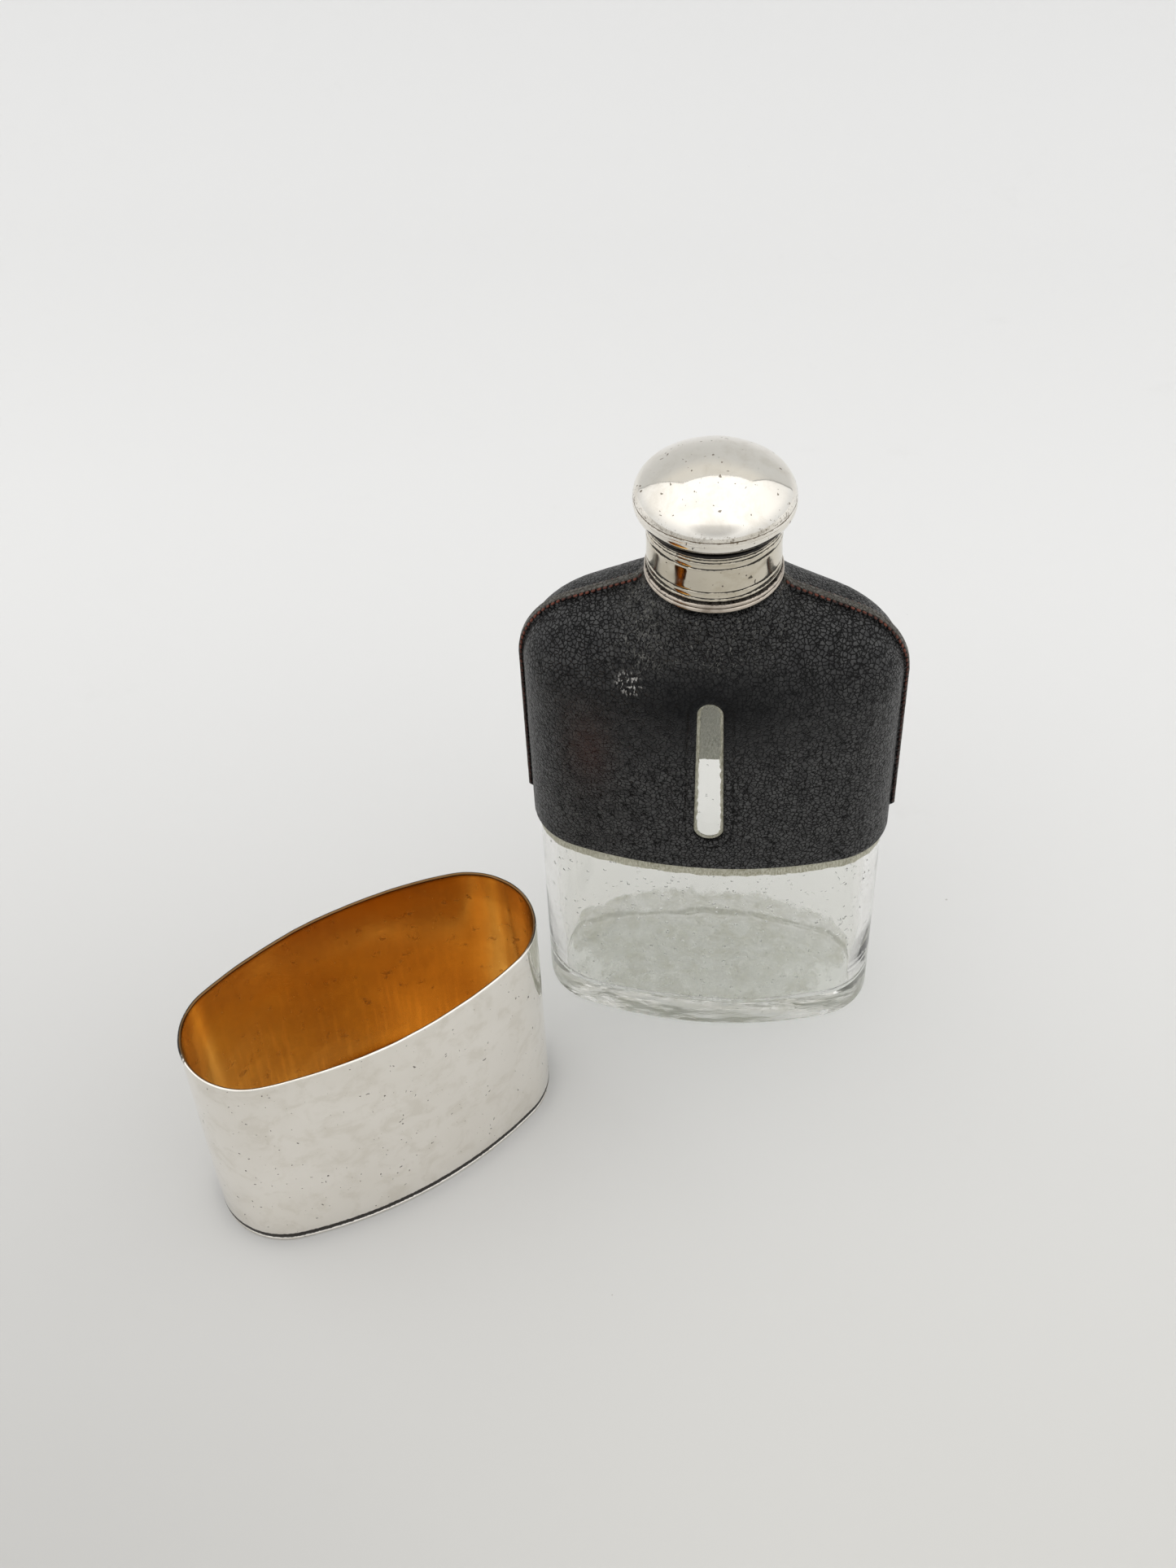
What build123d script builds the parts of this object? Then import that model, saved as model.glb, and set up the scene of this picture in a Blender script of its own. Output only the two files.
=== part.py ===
"""Hip flask: oval glass bottle in a stitched leather cover, plated screw cap and loose oval cup.

Units are millimetres and +Z is up.  The origin is the centre of the bottle's base.
X runs along the width of the flask and Y along its depth, with the window slot facing -Y.
"""

from build123d import *

import os
from math import atan2, cos, degrees, radians, sin, tan

# Glass bottle: oval section drawn with four arcs
GLASS_HALF_WIDTH = 37.6
GLASS_HALF_DEPTH = 17.5
GLASS_END_RADIUS = 13.6
GLASS_WALL = 3.0
GLASS_FLOOR = 5.0
GLASS_FLOOR_ROUND = 3.0
GLASS_BASE_ROUND = 1.0

# Shoulders: a corner arc, then a straight rise towards the neck
SHOULDER_START_Z = 98.5
SHOULDER_ARC_RADIUS = 15.0
SHOULDER_RISE_DEG = 22.0
SHOULDER_TOP_Z = 118.9
SHOULDER_TOP_HALF_DEPTH = 11.4
# 1 slopes the shoulders straight in depth, 2 rounds them as an ellipse
SHOULDER_ROUNDING = 1.5
SHOULDER_ARC_STEPS = 7
SHOULDER_LINE_STEPS = 4
SHOULDER_TOP_FULLNESS = 0.02
ROUNDEST_RATIO = 0.99

# Neck of the glass
NECK_RADIUS = 9.3
NECK_BORE_RADIUS = 6.6
NECK_TOP_Z = 135.0
NECK_LIP_ROUND = 0.8

# Cover: cloth lining under leather, front and back panels
LINING_INNER = 0.05
LINING_OUTER = 0.30
LINING_LOWER_Z = 52.6
LEATHER_INNER = 0.35
LEATHER_OUTER = 1.15
LEATHER_LOWER_Z = 55.4
PANEL_HALF_GAP = 0.02
COVER_HOLE_RADIUS = 10.6

# Outward seam flange and its two lock-stitched threads
FLANGE_OUTER = 2.20
FLANGE_THICKNESS = 0.85
FLANGE_LOWER_Z = 60.0
FLANGE_END_RADIUS = 13.05
THREAD_OFFSET = 1.70
THREAD_RADIUS = 0.20
THREAD_LIFT = 0.03
THREAD_INSET = 1.5

# Window slot in the front panel
SLOT_X = 0.7
SLOT_LOWER_Z = 64.2
SLOT_UPPER_Z = 102.6
SLOT_LOWER_WIDTH = 6.2
SLOT_UPPER_WIDTH = 5.2
LINING_SLOT_INSET = 0.45

# Plated neck fitting
COLLAR_BEAD_RADIUS = 13.7
COLLAR_BEAD_LOWER_Z = 122.2
COLLAR_TOP_Z = 124.2
COLLAR_FOOT_RADIUS = 12.9
COLLAR_FOOT_Z = 120.1
COLLAR_BEAD_ROUND = 0.95
SLEEVE_INNER_RADIUS = 9.65
SLEEVE_OUTER_RADIUS = 10.65
SLEEVE_TOP_Z = 135.2
SLEEVE_TO_COLLAR = 0.03
CEMENT_GAP = 0.03
CEMENT_LOWER_Z = 120.4

# Screw thread between neck sleeve and cap: three starts, right-handed
THREAD_LEAD = 6.0
THREAD_STARTS = 3
THREAD_TURN_HEIGHT = 6.0
RIDGE_EMBED = 0.20
RIDGE_ROOT_WIDTH = 0.90
RIDGE_TIP_WIDTH = 0.45
OUTER_RIDGE_Z = 126.0
OUTER_RIDGE_TIP_RADIUS = 11.30
INNER_RIDGE_Z = OUTER_RIDGE_Z + THREAD_LEAD / THREAD_STARTS / 2
INNER_RIDGE_TIP_RADIUS = 10.95

# Cap: dome, cove moulding, skirt and threaded inner sleeve
SKIRT_RADIUS = 13.2
SKIRT_WALL = 0.9
SKIRT_LOWER_Z = 124.75
SKIRT_UPPER_Z = 135.3
SKIRT_LINE_DEPTH = 0.18
SKIRT_LINE_WIDTH = 0.30
SKIRT_LINES_Z = (125.5, 127.0, 132.5, 134.0, 134.75)
CAP_SLEEVE_ROOT_RADIUS = 11.55
CAP_SLEEVE_OUTER_RADIUS = 12.25
CAP_SLEEVE_LOWER_Z = 125.0
CAP_SLEEVE_UPPER_Z = 135.2
COVE_LOWER_Z = 135.35
COVE_BEAD_RADIUS = 13.35
COVE_BEAD_TOP_Z = 135.85
COVE_THROAT_RADIUS = 12.85
COVE_HOLLOW_RADIUS = 3.2
COVE_LIP_RADIUS = 15.2
COVE_LIP_Z = 137.95
COVE_TOP_Z = 139.8
COVE_BORE_RADIUS = 11.8
DOME_RIM_RADIUS = 15.6
DOME_RIM_Z = 139.85
DOME_EDGE_Z = 140.0
DOME_EDGE_RADIUS = 4.8
DOME_TOP_Z = 148.6
DOME_WALL = 0.8

# Free-turning stopper held inside the cap
SEAT_PLATE_RADIUS = 14.6
SEAT_PLATE_LOWER_Z = 139.85
SEAT_PLATE_UPPER_Z = 140.55
SEAT_PIN_RADIUS = 1.5
SEAT_PIN_CLEARANCE = 0.08
CORK_RADIUS = 10.4
CORK_LOWER_Z = 135.25
CORK_UPPER_Z = 139.0
WASHER_RADIUS = 10.8
WASHER_UPPER_Z = 139.8
WASHER_GAP = 0.03
PIN_HEAD_RADIUS = 2.6
PIN_HEAD_LOWER_Z = 140.6
PIN_HEAD_UPPER_Z = 141.4

# Oval cup, standing beside the flask
CUP_OUTER = 1.75
CUP_WALL = 0.75
CUP_HEIGHT = 54.6
CUP_WALL_LOWER_Z = 1.10
CUP_FLOOR_LOWER_Z = 1.10
CUP_FLOOR_THICKNESS = 0.80
CUP_FLOOR_GAP = 0.03
CUP_FOOT_OUTER = 1.40
CUP_FOOT_INNER = -1.60
CUP_FOOT_HEIGHT = 1.05
CUP_CENTRE_X = -68.0
CUP_CENTRE_Y = -52.6
CUP_TURN_DEG = 38.3

FAR = 400.0


def fullness_of(half_width, half_depth, radius):
    """How far the end arcs are opened out, from an ellipse's own end radius (0) to half a circle (1)."""
    tightest = half_depth**2 / half_width
    return (radius - tightest) / (half_depth - tightest)


def end_radius(half_width, half_depth, fullness):
    """Radius of the two end arcs for a given fullness."""
    tightest = half_depth**2 / half_width
    return tightest + fullness * (half_depth - tightest)


def oval_arcs(half_width, half_depth, radius):
    """Radius of an oval's flat side arcs, and the angle at which an end arc of the given radius meets them."""
    side_radius = (half_width**2 - 2 * half_width * radius + half_depth**2) / (2 * (half_depth - radius))
    return side_radius, atan2(side_radius - half_depth, half_width - radius)


def oval(half_width, half_depth, radius, z=0.0):
    """Closed oval of four tangent arcs at height z."""
    side_radius, angle = oval_arcs(half_width, half_depth, radius)
    joint_x = half_width - radius + radius * cos(angle)
    joint_y = radius * sin(angle)
    arcs = [
        ThreePointArc((joint_x, -joint_y), (half_width, 0), (joint_x, joint_y)),
        ThreePointArc((joint_x, joint_y), (0, half_depth), (-joint_x, joint_y)),
        ThreePointArc((-joint_x, joint_y), (-half_width, 0), (-joint_x, -joint_y)),
        ThreePointArc((-joint_x, -joint_y), (0, -half_depth), (joint_x, -joint_y)),
    ]
    return Pos(0, 0, z) * make_face(Wire(arcs))


def flask_oval(offset, z=0.0):
    """The flask's plan section, grown outwards by the offset."""
    return oval(
        GLASS_HALF_WIDTH + offset,
        GLASS_HALF_DEPTH + offset,
        GLASS_END_RADIUS + offset,
        z,
    )


def flask_prism(offset, lower_z, upper_z):
    """Upright block with the flask's plan section."""
    return extrude(flask_oval(offset, lower_z), upper_z - lower_z)


def corner_point(offset, angle_deg):
    """Point of the shoulder's corner arc in the front view."""
    radius = SHOULDER_ARC_RADIUS + offset
    x = GLASS_HALF_WIDTH - SHOULDER_ARC_RADIUS + radius * cos(radians(angle_deg))
    z = SHOULDER_START_Z + radius * sin(radians(angle_deg))
    return x, z


def rise_point(offset, z):
    """Point of the shoulder's straight rise at height z in the front view."""
    start_x, start_z = corner_point(offset, 90 - SHOULDER_RISE_DEG)
    return start_x - (z - start_z) / tan(radians(SHOULDER_RISE_DEG)), z


def shoulder_outline(offset):
    """Stations of the front outline from the top of the straight side to the neck."""
    step_angle = (90 - SHOULDER_RISE_DEG) / SHOULDER_ARC_STEPS
    stations = [corner_point(offset, step_angle * step) for step in range(SHOULDER_ARC_STEPS + 1)]
    start_z = stations[-1][1]
    top_z = SHOULDER_TOP_Z + offset
    for step in range(1, SHOULDER_LINE_STEPS + 1):
        z = start_z + (top_z - start_z) * step / SHOULDER_LINE_STEPS
        stations.append(rise_point(offset, z))
    return stations


def shoulder_section(offset, half_width, z):
    """Horizontal section of the shoulders, rounded over in depth as well as in width."""
    full_width = GLASS_HALF_WIDTH + offset
    full_depth = GLASS_HALF_DEPTH + offset
    climb = (z - SHOULDER_START_Z) / (SHOULDER_TOP_Z + offset - SHOULDER_START_Z)
    bend = climb**SHOULDER_ROUNDING
    drop = 1 - ((SHOULDER_TOP_HALF_DEPTH + offset) / full_depth) ** SHOULDER_ROUNDING
    rounded_depth = full_depth * (1 - drop * bend) ** (1 / SHOULDER_ROUNDING)
    half_depth = min(rounded_depth, ROUNDEST_RATIO * half_width)
    start_fullness = fullness_of(full_width, full_depth, GLASS_END_RADIUS + offset)
    fullness = start_fullness + (SHOULDER_TOP_FULLNESS - start_fullness) * bend
    return oval(half_width, half_depth, end_radius(half_width, half_depth, fullness), z)


def flask_body(offset, lower_z):
    """Solid outline of the flask below the neck, grown outwards by the offset."""
    sections = [shoulder_section(offset, x, z) for x, z in shoulder_outline(offset)]
    return flask_prism(offset, lower_z, SHOULDER_START_Z) + loft(sections)


def cylinder(radius, lower_z, upper_z):
    """Upright cylinder on the neck axis."""
    return Pos(0, 0, lower_z) * extrude(Circle(radius), upper_z - lower_z)


def block(lower, upper):
    """Box between two corners."""
    size = [high - low for low, high in zip(lower, upper)]
    centre = [(high + low) / 2 for low, high in zip(lower, upper)]
    return Pos(*centre) * Box(*size)


def slot_cutter(inset):
    """Tapered slot with round ends, cut through the front panel only."""
    lower_radius = SLOT_LOWER_WIDTH / 2 - inset
    upper_radius = SLOT_UPPER_WIDTH / 2 - inset
    lower_z = SLOT_LOWER_Z + SLOT_LOWER_WIDTH / 2
    upper_z = SLOT_UPPER_Z - SLOT_UPPER_WIDTH / 2
    lower_left = (SLOT_X - lower_radius, lower_z)
    lower_right = (SLOT_X + lower_radius, lower_z)
    upper_left = (SLOT_X - upper_radius, upper_z)
    upper_right = (SLOT_X + upper_radius, upper_z)
    outline = [
        ThreePointArc(lower_left, (SLOT_X, lower_z - lower_radius), lower_right),
        Line(lower_right, upper_right),
        ThreePointArc(upper_right, (SLOT_X, upper_z + upper_radius), upper_left),
        Line(upper_left, lower_left),
    ]
    return extrude(Plane.XZ * make_face(outline), 2 * GLASS_HALF_DEPTH)


def front_half(shape):
    """Keep what lies in front of the seam."""
    return shape & block((-FAR, -FAR, -FAR), (FAR, -PANEL_HALF_GAP, FAR))


def back_half(shape):
    """Keep what lies behind the seam."""
    return shape & block((-FAR, PANEL_HALF_GAP, -FAR), (FAR, FAR, FAR))


def glass_bottle():
    """Blown oval bottle with a thick floor and a plain cylindrical neck."""
    outside = flask_body(0.0, 0.0)
    outside = fillet(outside.edges().group_by(Axis.Z)[0], GLASS_BASE_ROUND)
    outside += cylinder(NECK_RADIUS, SHOULDER_TOP_Z - GLASS_WALL, NECK_TOP_Z)
    outside = fillet(outside.edges().group_by(Axis.Z)[-1], NECK_LIP_ROUND)
    inside = flask_body(-GLASS_WALL, GLASS_FLOOR)
    inside = fillet(inside.edges().group_by(Axis.Z)[0], GLASS_FLOOR_ROUND)
    bore = cylinder(NECK_BORE_RADIUS, SHOULDER_TOP_Z - 2 * GLASS_WALL, NECK_TOP_Z)
    return outside - inside - bore


def cover_shell(inner, outer, lower_z):
    """Closed sleeve over the bottle between two offsets, open at the bottom and round the neck."""
    shell = flask_body(outer, lower_z) - flask_body(inner, lower_z)
    return shell - cylinder(COVER_HOLE_RADIUS, SHOULDER_TOP_Z, NECK_TOP_Z)


def lining(half):
    """Cloth lining of one panel, showing below the leather's edge."""
    return half(cover_shell(LINING_INNER, LINING_OUTER, LINING_LOWER_Z))


def lining_front():
    """Front lining with its window slot a little smaller than the leather's."""
    return lining(front_half) - slot_cutter(LINING_SLOT_INSET)


def lining_back():
    """Back lining."""
    return lining(back_half)


def seam_flange(side):
    """Edge of one panel turned outwards along the seam; side is -1 in front and +1 behind."""
    near = side * PANEL_HALF_GAP
    far = side * (PANEL_HALF_GAP + FLANGE_THICKNESS)
    slab = block((-FAR, min(near, far), FLANGE_LOWER_Z), (FAR, max(near, far), FAR))
    strip = (flask_body(FLANGE_OUTER, FLANGE_LOWER_Z) & slab) - flask_body(LEATHER_INNER, FLANGE_LOWER_Z)
    return strip - cylinder(FLANGE_END_RADIUS, SHOULDER_TOP_Z, NECK_TOP_Z)


def leather_panel(half, side):
    """One moulded leather panel with its seam flange."""
    panel = half(cover_shell(LEATHER_INNER, LEATHER_OUTER, LEATHER_LOWER_Z))
    return panel + seam_flange(side)


def leather_front():
    """Front panel, cut through by the window slot."""
    return leather_panel(front_half, -1) - slot_cutter(0.0)


def leather_back():
    """Back panel."""
    return leather_panel(back_half, 1)


def seam_path(y):
    """Path of the stitching on the right-hand seam, from its lower end to the collar."""
    side_x, side_z = corner_point(THREAD_OFFSET, 0)
    middle_x, middle_z = corner_point(THREAD_OFFSET, (90 - SHOULDER_RISE_DEG) / 2)
    bend_x, bend_z = corner_point(THREAD_OFFSET, 90 - SHOULDER_RISE_DEG)
    last_x = FLANGE_END_RADIUS + THREAD_INSET
    last_z = bend_z + (bend_x - last_x) * tan(radians(SHOULDER_RISE_DEG))
    straight = Line((side_x, y, FLANGE_LOWER_Z + THREAD_INSET), (side_x, y, side_z))
    corner = ThreePointArc((side_x, y, side_z), (middle_x, y, middle_z), (bend_x, y, bend_z))
    rise = Line((bend_x, y, bend_z), (last_x, y, last_z))
    return Wire([straight, corner, rise])


def seam_thread(side):
    """Thread lying on one face of the right-hand flange; side is -1 in front and +1 behind."""
    y = side * (PANEL_HALF_GAP + FLANGE_THICKNESS + THREAD_RADIUS + THREAD_LIFT)
    path = seam_path(y)
    return sweep(Plane(path @ 0, z_dir=path % 0) * Circle(THREAD_RADIUS), path=path)


def thread_front_right():
    """Needle thread of the right-hand seam."""
    return seam_thread(-1)


def thread_back_right():
    """Bobbin thread of the right-hand seam."""
    return seam_thread(1)


def thread_front_left():
    """Needle thread of the left-hand seam."""
    return mirror(seam_thread(-1), about=Plane.YZ)


def thread_back_left():
    """Bobbin thread of the left-hand seam."""
    return mirror(seam_thread(1), about=Plane.YZ)


def collar_ring():
    """Beaded ring that caps the leather's neck hole and is soldered round the sleeve."""
    bead = cylinder(COLLAR_BEAD_RADIUS, COLLAR_BEAD_LOWER_Z, COLLAR_TOP_Z)
    bead = fillet(bead.edges(), COLLAR_BEAD_ROUND)
    ring = bead + cylinder(COLLAR_FOOT_RADIUS, COLLAR_FOOT_Z, COLLAR_TOP_Z - COLLAR_BEAD_ROUND)
    return ring - cylinder(SLEEVE_OUTER_RADIUS + SLEEVE_TO_COLLAR, COLLAR_FOOT_Z, COLLAR_TOP_Z)


def thread_ridge(root_radius, tip_radius):
    """One helical ridge on a wall of the root radius, reaching to the tip radius."""
    outwards = 1 if tip_radius > root_radius else -1
    buried = root_radius - outwards * RIDGE_EMBED
    section = Polygon(
        (buried, -RIDGE_ROOT_WIDTH / 2),
        (root_radius, -RIDGE_ROOT_WIDTH / 2),
        (tip_radius, -RIDGE_TIP_WIDTH / 2),
        (tip_radius, RIDGE_TIP_WIDTH / 2),
        (root_radius, RIDGE_ROOT_WIDTH / 2),
        (buried, RIDGE_ROOT_WIDTH / 2),
        align=None,
    )
    helix = Helix(pitch=THREAD_LEAD, height=THREAD_TURN_HEIGHT, radius=root_radius)
    return sweep(Plane.XZ * section, path=helix, is_frenet=True)


def thread_ridges(root_radius, tip_radius, z):
    """All starts of the thread, the lowest point at height z."""
    ridge = thread_ridge(root_radius, tip_radius)
    turns = [Rot(0, 0, 360 * start / THREAD_STARTS) for start in range(THREAD_STARTS)]
    return [Pos(0, 0, z) * turn * ridge for turn in turns]


def neck_sleeve():
    """Plated sleeve round the glass neck, carrying the outer thread."""
    sleeve = cylinder(SLEEVE_OUTER_RADIUS, COLLAR_FOOT_Z, SLEEVE_TOP_Z)
    sleeve -= cylinder(SLEEVE_INNER_RADIUS, COLLAR_FOOT_Z, SLEEVE_TOP_Z)
    for ridge in thread_ridges(SLEEVE_OUTER_RADIUS, OUTER_RIDGE_TIP_RADIUS, OUTER_RIDGE_Z):
        sleeve += ridge
    return sleeve


def neck_cement():
    """Plaster filling between the glass neck and the sleeve."""
    filling = cylinder(SLEEVE_INNER_RADIUS - CEMENT_GAP, CEMENT_LOWER_Z, NECK_TOP_Z - NECK_LIP_ROUND)
    return filling - cylinder(NECK_RADIUS + CEMENT_GAP, CEMENT_LOWER_Z, NECK_TOP_Z)


def cap_thread_sleeve():
    """Inner sleeve of the cap, carrying the inner thread."""
    sleeve = cylinder(CAP_SLEEVE_OUTER_RADIUS, CAP_SLEEVE_LOWER_Z, CAP_SLEEVE_UPPER_Z)
    sleeve -= cylinder(CAP_SLEEVE_ROOT_RADIUS, CAP_SLEEVE_LOWER_Z, CAP_SLEEVE_UPPER_Z)
    for ridge in thread_ridges(CAP_SLEEVE_ROOT_RADIUS, INNER_RIDGE_TIP_RADIUS, INNER_RIDGE_Z):
        sleeve += ridge
    return sleeve


def engraved_line(radius, z):
    """Shallow turned line round a cylinder."""
    ring = cylinder(radius + SKIRT_LINE_WIDTH, z - SKIRT_LINE_WIDTH / 2, z + SKIRT_LINE_WIDTH / 2)
    return ring - cylinder(radius - SKIRT_LINE_DEPTH, z - SKIRT_LINE_WIDTH, z + SKIRT_LINE_WIDTH)


def cap_skirt():
    """Outer skirt of the cap with its turned lines."""
    skirt = cylinder(SKIRT_RADIUS, SKIRT_LOWER_Z, SKIRT_UPPER_Z)
    skirt -= cylinder(SKIRT_RADIUS - SKIRT_WALL, SKIRT_LOWER_Z, SKIRT_UPPER_Z)
    for z in SKIRT_LINES_Z:
        skirt -= engraved_line(SKIRT_RADIUS, z)
    return skirt


def turned(outline):
    """Solid turned from an outline drawn as radius and height."""
    return revolve(Plane.XZ * make_face(outline), Axis.Z)


def cap_cove():
    """Moulding between skirt and dome: small bead, hollow cove and thick rounded lip."""
    bead_round = (COVE_BEAD_TOP_Z - COVE_LOWER_Z) / 2
    bead_start = (COVE_BEAD_RADIUS - bead_round, COVE_LOWER_Z)
    bead = JernArc(bead_start, (1, 0), bead_round, 180)
    throat = Line(bead @ 1, (COVE_THROAT_RADIUS, COVE_BEAD_TOP_Z))
    cove = RadiusArc(
        (COVE_THROAT_RADIUS, COVE_BEAD_TOP_Z),
        (COVE_LIP_RADIUS, COVE_LIP_Z),
        -COVE_HOLLOW_RADIUS,
    )
    lip = RadiusArc(
        (COVE_LIP_RADIUS, COVE_LIP_Z),
        (DOME_RIM_RADIUS, COVE_TOP_Z),
        -(DOME_RIM_RADIUS - COVE_THROAT_RADIUS),
    )
    top = Line((DOME_RIM_RADIUS, COVE_TOP_Z), (COVE_BORE_RADIUS, COVE_TOP_Z))
    bore = Line((COVE_BORE_RADIUS, COVE_TOP_Z), (COVE_BORE_RADIUS, COVE_LOWER_Z))
    foot = Line((COVE_BORE_RADIUS, COVE_LOWER_Z), bead_start)
    return turned([bead, throat, cove, lip, top, bore, foot])


def dome_solid(radius, rise, edge_radius):
    """Dome of a tight edge arc and a flat crown arc, standing on a short upright rim."""
    crown_radius, angle = oval_arcs(radius, rise, edge_radius)
    edge = CenterArc((radius - edge_radius, DOME_EDGE_Z), edge_radius, 0, degrees(angle))
    crown_centre = (0, DOME_EDGE_Z + rise - crown_radius)
    crown = CenterArc(crown_centre, crown_radius, degrees(angle), 90 - degrees(angle))
    rim = Line((radius, DOME_RIM_Z), (radius, DOME_EDGE_Z))
    axis = Line((0, DOME_EDGE_Z + rise), (0, DOME_RIM_Z))
    foot = Line((0, DOME_RIM_Z), (radius, DOME_RIM_Z))
    return turned([foot, rim, edge, crown, axis])


def cap_dome():
    """Raised dome spun from sheet."""
    rise = DOME_TOP_Z - DOME_EDGE_Z
    outside = dome_solid(DOME_RIM_RADIUS, rise, DOME_EDGE_RADIUS)
    return outside - dome_solid(DOME_RIM_RADIUS - DOME_WALL, rise - DOME_WALL, DOME_EDGE_RADIUS - DOME_WALL)


def cap_seat_plate():
    """Round plate across the cap that the stopper's pin turns in."""
    plate = cylinder(SEAT_PLATE_RADIUS, SEAT_PLATE_LOWER_Z, SEAT_PLATE_UPPER_Z)
    return plate - cylinder(SEAT_PIN_RADIUS + SEAT_PIN_CLEARANCE, SEAT_PLATE_LOWER_Z, SEAT_PLATE_UPPER_Z)


def stopper_pin():
    """Riveted pin: thin washer over the cork, shank through the plate, head above it."""
    pin = cylinder(WASHER_RADIUS, CORK_UPPER_Z + WASHER_GAP, WASHER_UPPER_Z)
    pin += cylinder(SEAT_PIN_RADIUS, WASHER_UPPER_Z, PIN_HEAD_LOWER_Z)
    pin += cylinder(PIN_HEAD_RADIUS, PIN_HEAD_LOWER_Z, PIN_HEAD_UPPER_Z)
    return pin


def cork_disc():
    """Cork that seals the mouth."""
    return cylinder(CORK_RADIUS, CORK_LOWER_Z, CORK_UPPER_Z)


def place_cup(shape):
    """Put a cup piece where the cup stands, turned beside the flask."""
    return Pos(CUP_CENTRE_X, CUP_CENTRE_Y, 0) * Rot(0, 0, CUP_TURN_DEG) * shape


def cup_wall():
    """Seamed oval wall of the cup."""
    wall = flask_prism(CUP_OUTER, CUP_WALL_LOWER_Z, CUP_HEIGHT)
    return place_cup(wall - flask_prism(CUP_OUTER - CUP_WALL, CUP_WALL_LOWER_Z, CUP_HEIGHT))


def cup_floor():
    """Flat floor let into the wall."""
    upper_z = CUP_FLOOR_LOWER_Z + CUP_FLOOR_THICKNESS
    return place_cup(flask_prism(CUP_OUTER - CUP_WALL - CUP_FLOOR_GAP, CUP_FLOOR_LOWER_Z, upper_z))


def cup_foot_ring():
    """Thin oval ring the cup stands on."""
    ring = flask_prism(CUP_FOOT_OUTER, 0, CUP_FOOT_HEIGHT)
    return place_cup(ring - flask_prism(CUP_FOOT_INNER, 0, CUP_FOOT_HEIGHT))


PIECES = (
    glass_bottle,
    lining_front,
    lining_back,
    leather_front,
    leather_back,
    thread_front_left,
    thread_front_right,
    thread_back_left,
    thread_back_right,
    collar_ring,
    neck_sleeve,
    neck_cement,
    cork_disc,
    stopper_pin,
    cap_seat_plate,
    cap_thread_sleeve,
    cap_skirt,
    cap_cove,
    cap_dome,
    cup_wall,
    cup_floor,
    cup_foot_ring,
)


def main():
    """Build every piece and write one STEP file for each."""
    os.makedirs("parts", exist_ok=True)
    for piece in PIECES:
        shape = piece()
        export_step(shape, "parts/" + piece.__name__ + ".step")


main()
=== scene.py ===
"""Looks of the hip flask: glass, grained leather, cloth lining, stitching, plated cap and gilt cup."""

import math

import bmesh
import bpy
import numpy as np
from mathutils import Matrix, Vector, noise


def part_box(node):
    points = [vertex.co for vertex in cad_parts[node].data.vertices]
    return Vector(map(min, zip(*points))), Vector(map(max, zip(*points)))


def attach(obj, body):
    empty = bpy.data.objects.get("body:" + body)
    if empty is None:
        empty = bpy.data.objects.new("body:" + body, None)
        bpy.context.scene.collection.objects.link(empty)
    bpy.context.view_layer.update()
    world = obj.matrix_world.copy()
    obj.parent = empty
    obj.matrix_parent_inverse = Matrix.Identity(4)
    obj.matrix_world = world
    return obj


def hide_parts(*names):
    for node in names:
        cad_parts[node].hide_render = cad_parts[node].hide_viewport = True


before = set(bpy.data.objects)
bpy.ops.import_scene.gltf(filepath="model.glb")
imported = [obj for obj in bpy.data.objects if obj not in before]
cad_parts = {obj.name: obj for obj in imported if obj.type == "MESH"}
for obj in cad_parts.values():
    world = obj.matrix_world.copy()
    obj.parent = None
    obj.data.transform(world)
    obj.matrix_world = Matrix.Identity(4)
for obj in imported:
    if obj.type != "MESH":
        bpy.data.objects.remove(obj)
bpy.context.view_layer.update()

MM = 0.001
TAU = 2 * math.pi


def cad_box_mm(node):
    """Lowest and highest corner of a CAD node in millimetres."""
    low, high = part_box(node)
    return np.array(low) / MM, np.array(high) / MM


# Driving sizes in millimetres, taken from the frame where it holds them
GLASS_HIGH = cad_box_mm("glass_bottle")[1]
LEATHER_LOW = cad_box_mm("leather_front")[0]
LINING_LOW = cad_box_mm("lining_front")[0]
COLLAR_LOW, COLLAR_HIGH = cad_box_mm("collar_ring")
SKIRT_LOW, SKIRT_HIGH = cad_box_mm("cap_skirt")
COVE_LOW, COVE_HIGH = cad_box_mm("cap_cove")
DOME_LOW, DOME_HIGH = cad_box_mm("cap_dome")
WALL_LOW, WALL_HIGH = cad_box_mm("cup_wall")
FLOOR_LOW, FLOOR_HIGH = cad_box_mm("cup_floor")
FOOT_LOW, FOOT_HIGH = cad_box_mm("cup_foot_ring")

# Bottle section and shoulders
HALF_WIDTH = GLASS_HIGH[0]
HALF_DEPTH = 17.5
END_RADIUS = 13.6
SHOULDER_Z = 98.5
SHOULDER_ARC = 15.0
SHOULDER_RISE = math.radians(22)
SHOULDER_TOP_Z = 118.9
TOP_HALF_DEPTH = 11.4
ROUNDING = 1.5
TOP_FULLNESS = 0.02
ROUNDEST = 0.99
GLASS_WALL = 3.0
GLASS_FLOOR = 5.0
FLOOR_WAVE = 1.9
NECK_RADIUS = 9.3
BORE_RADIUS = 6.6

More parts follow.
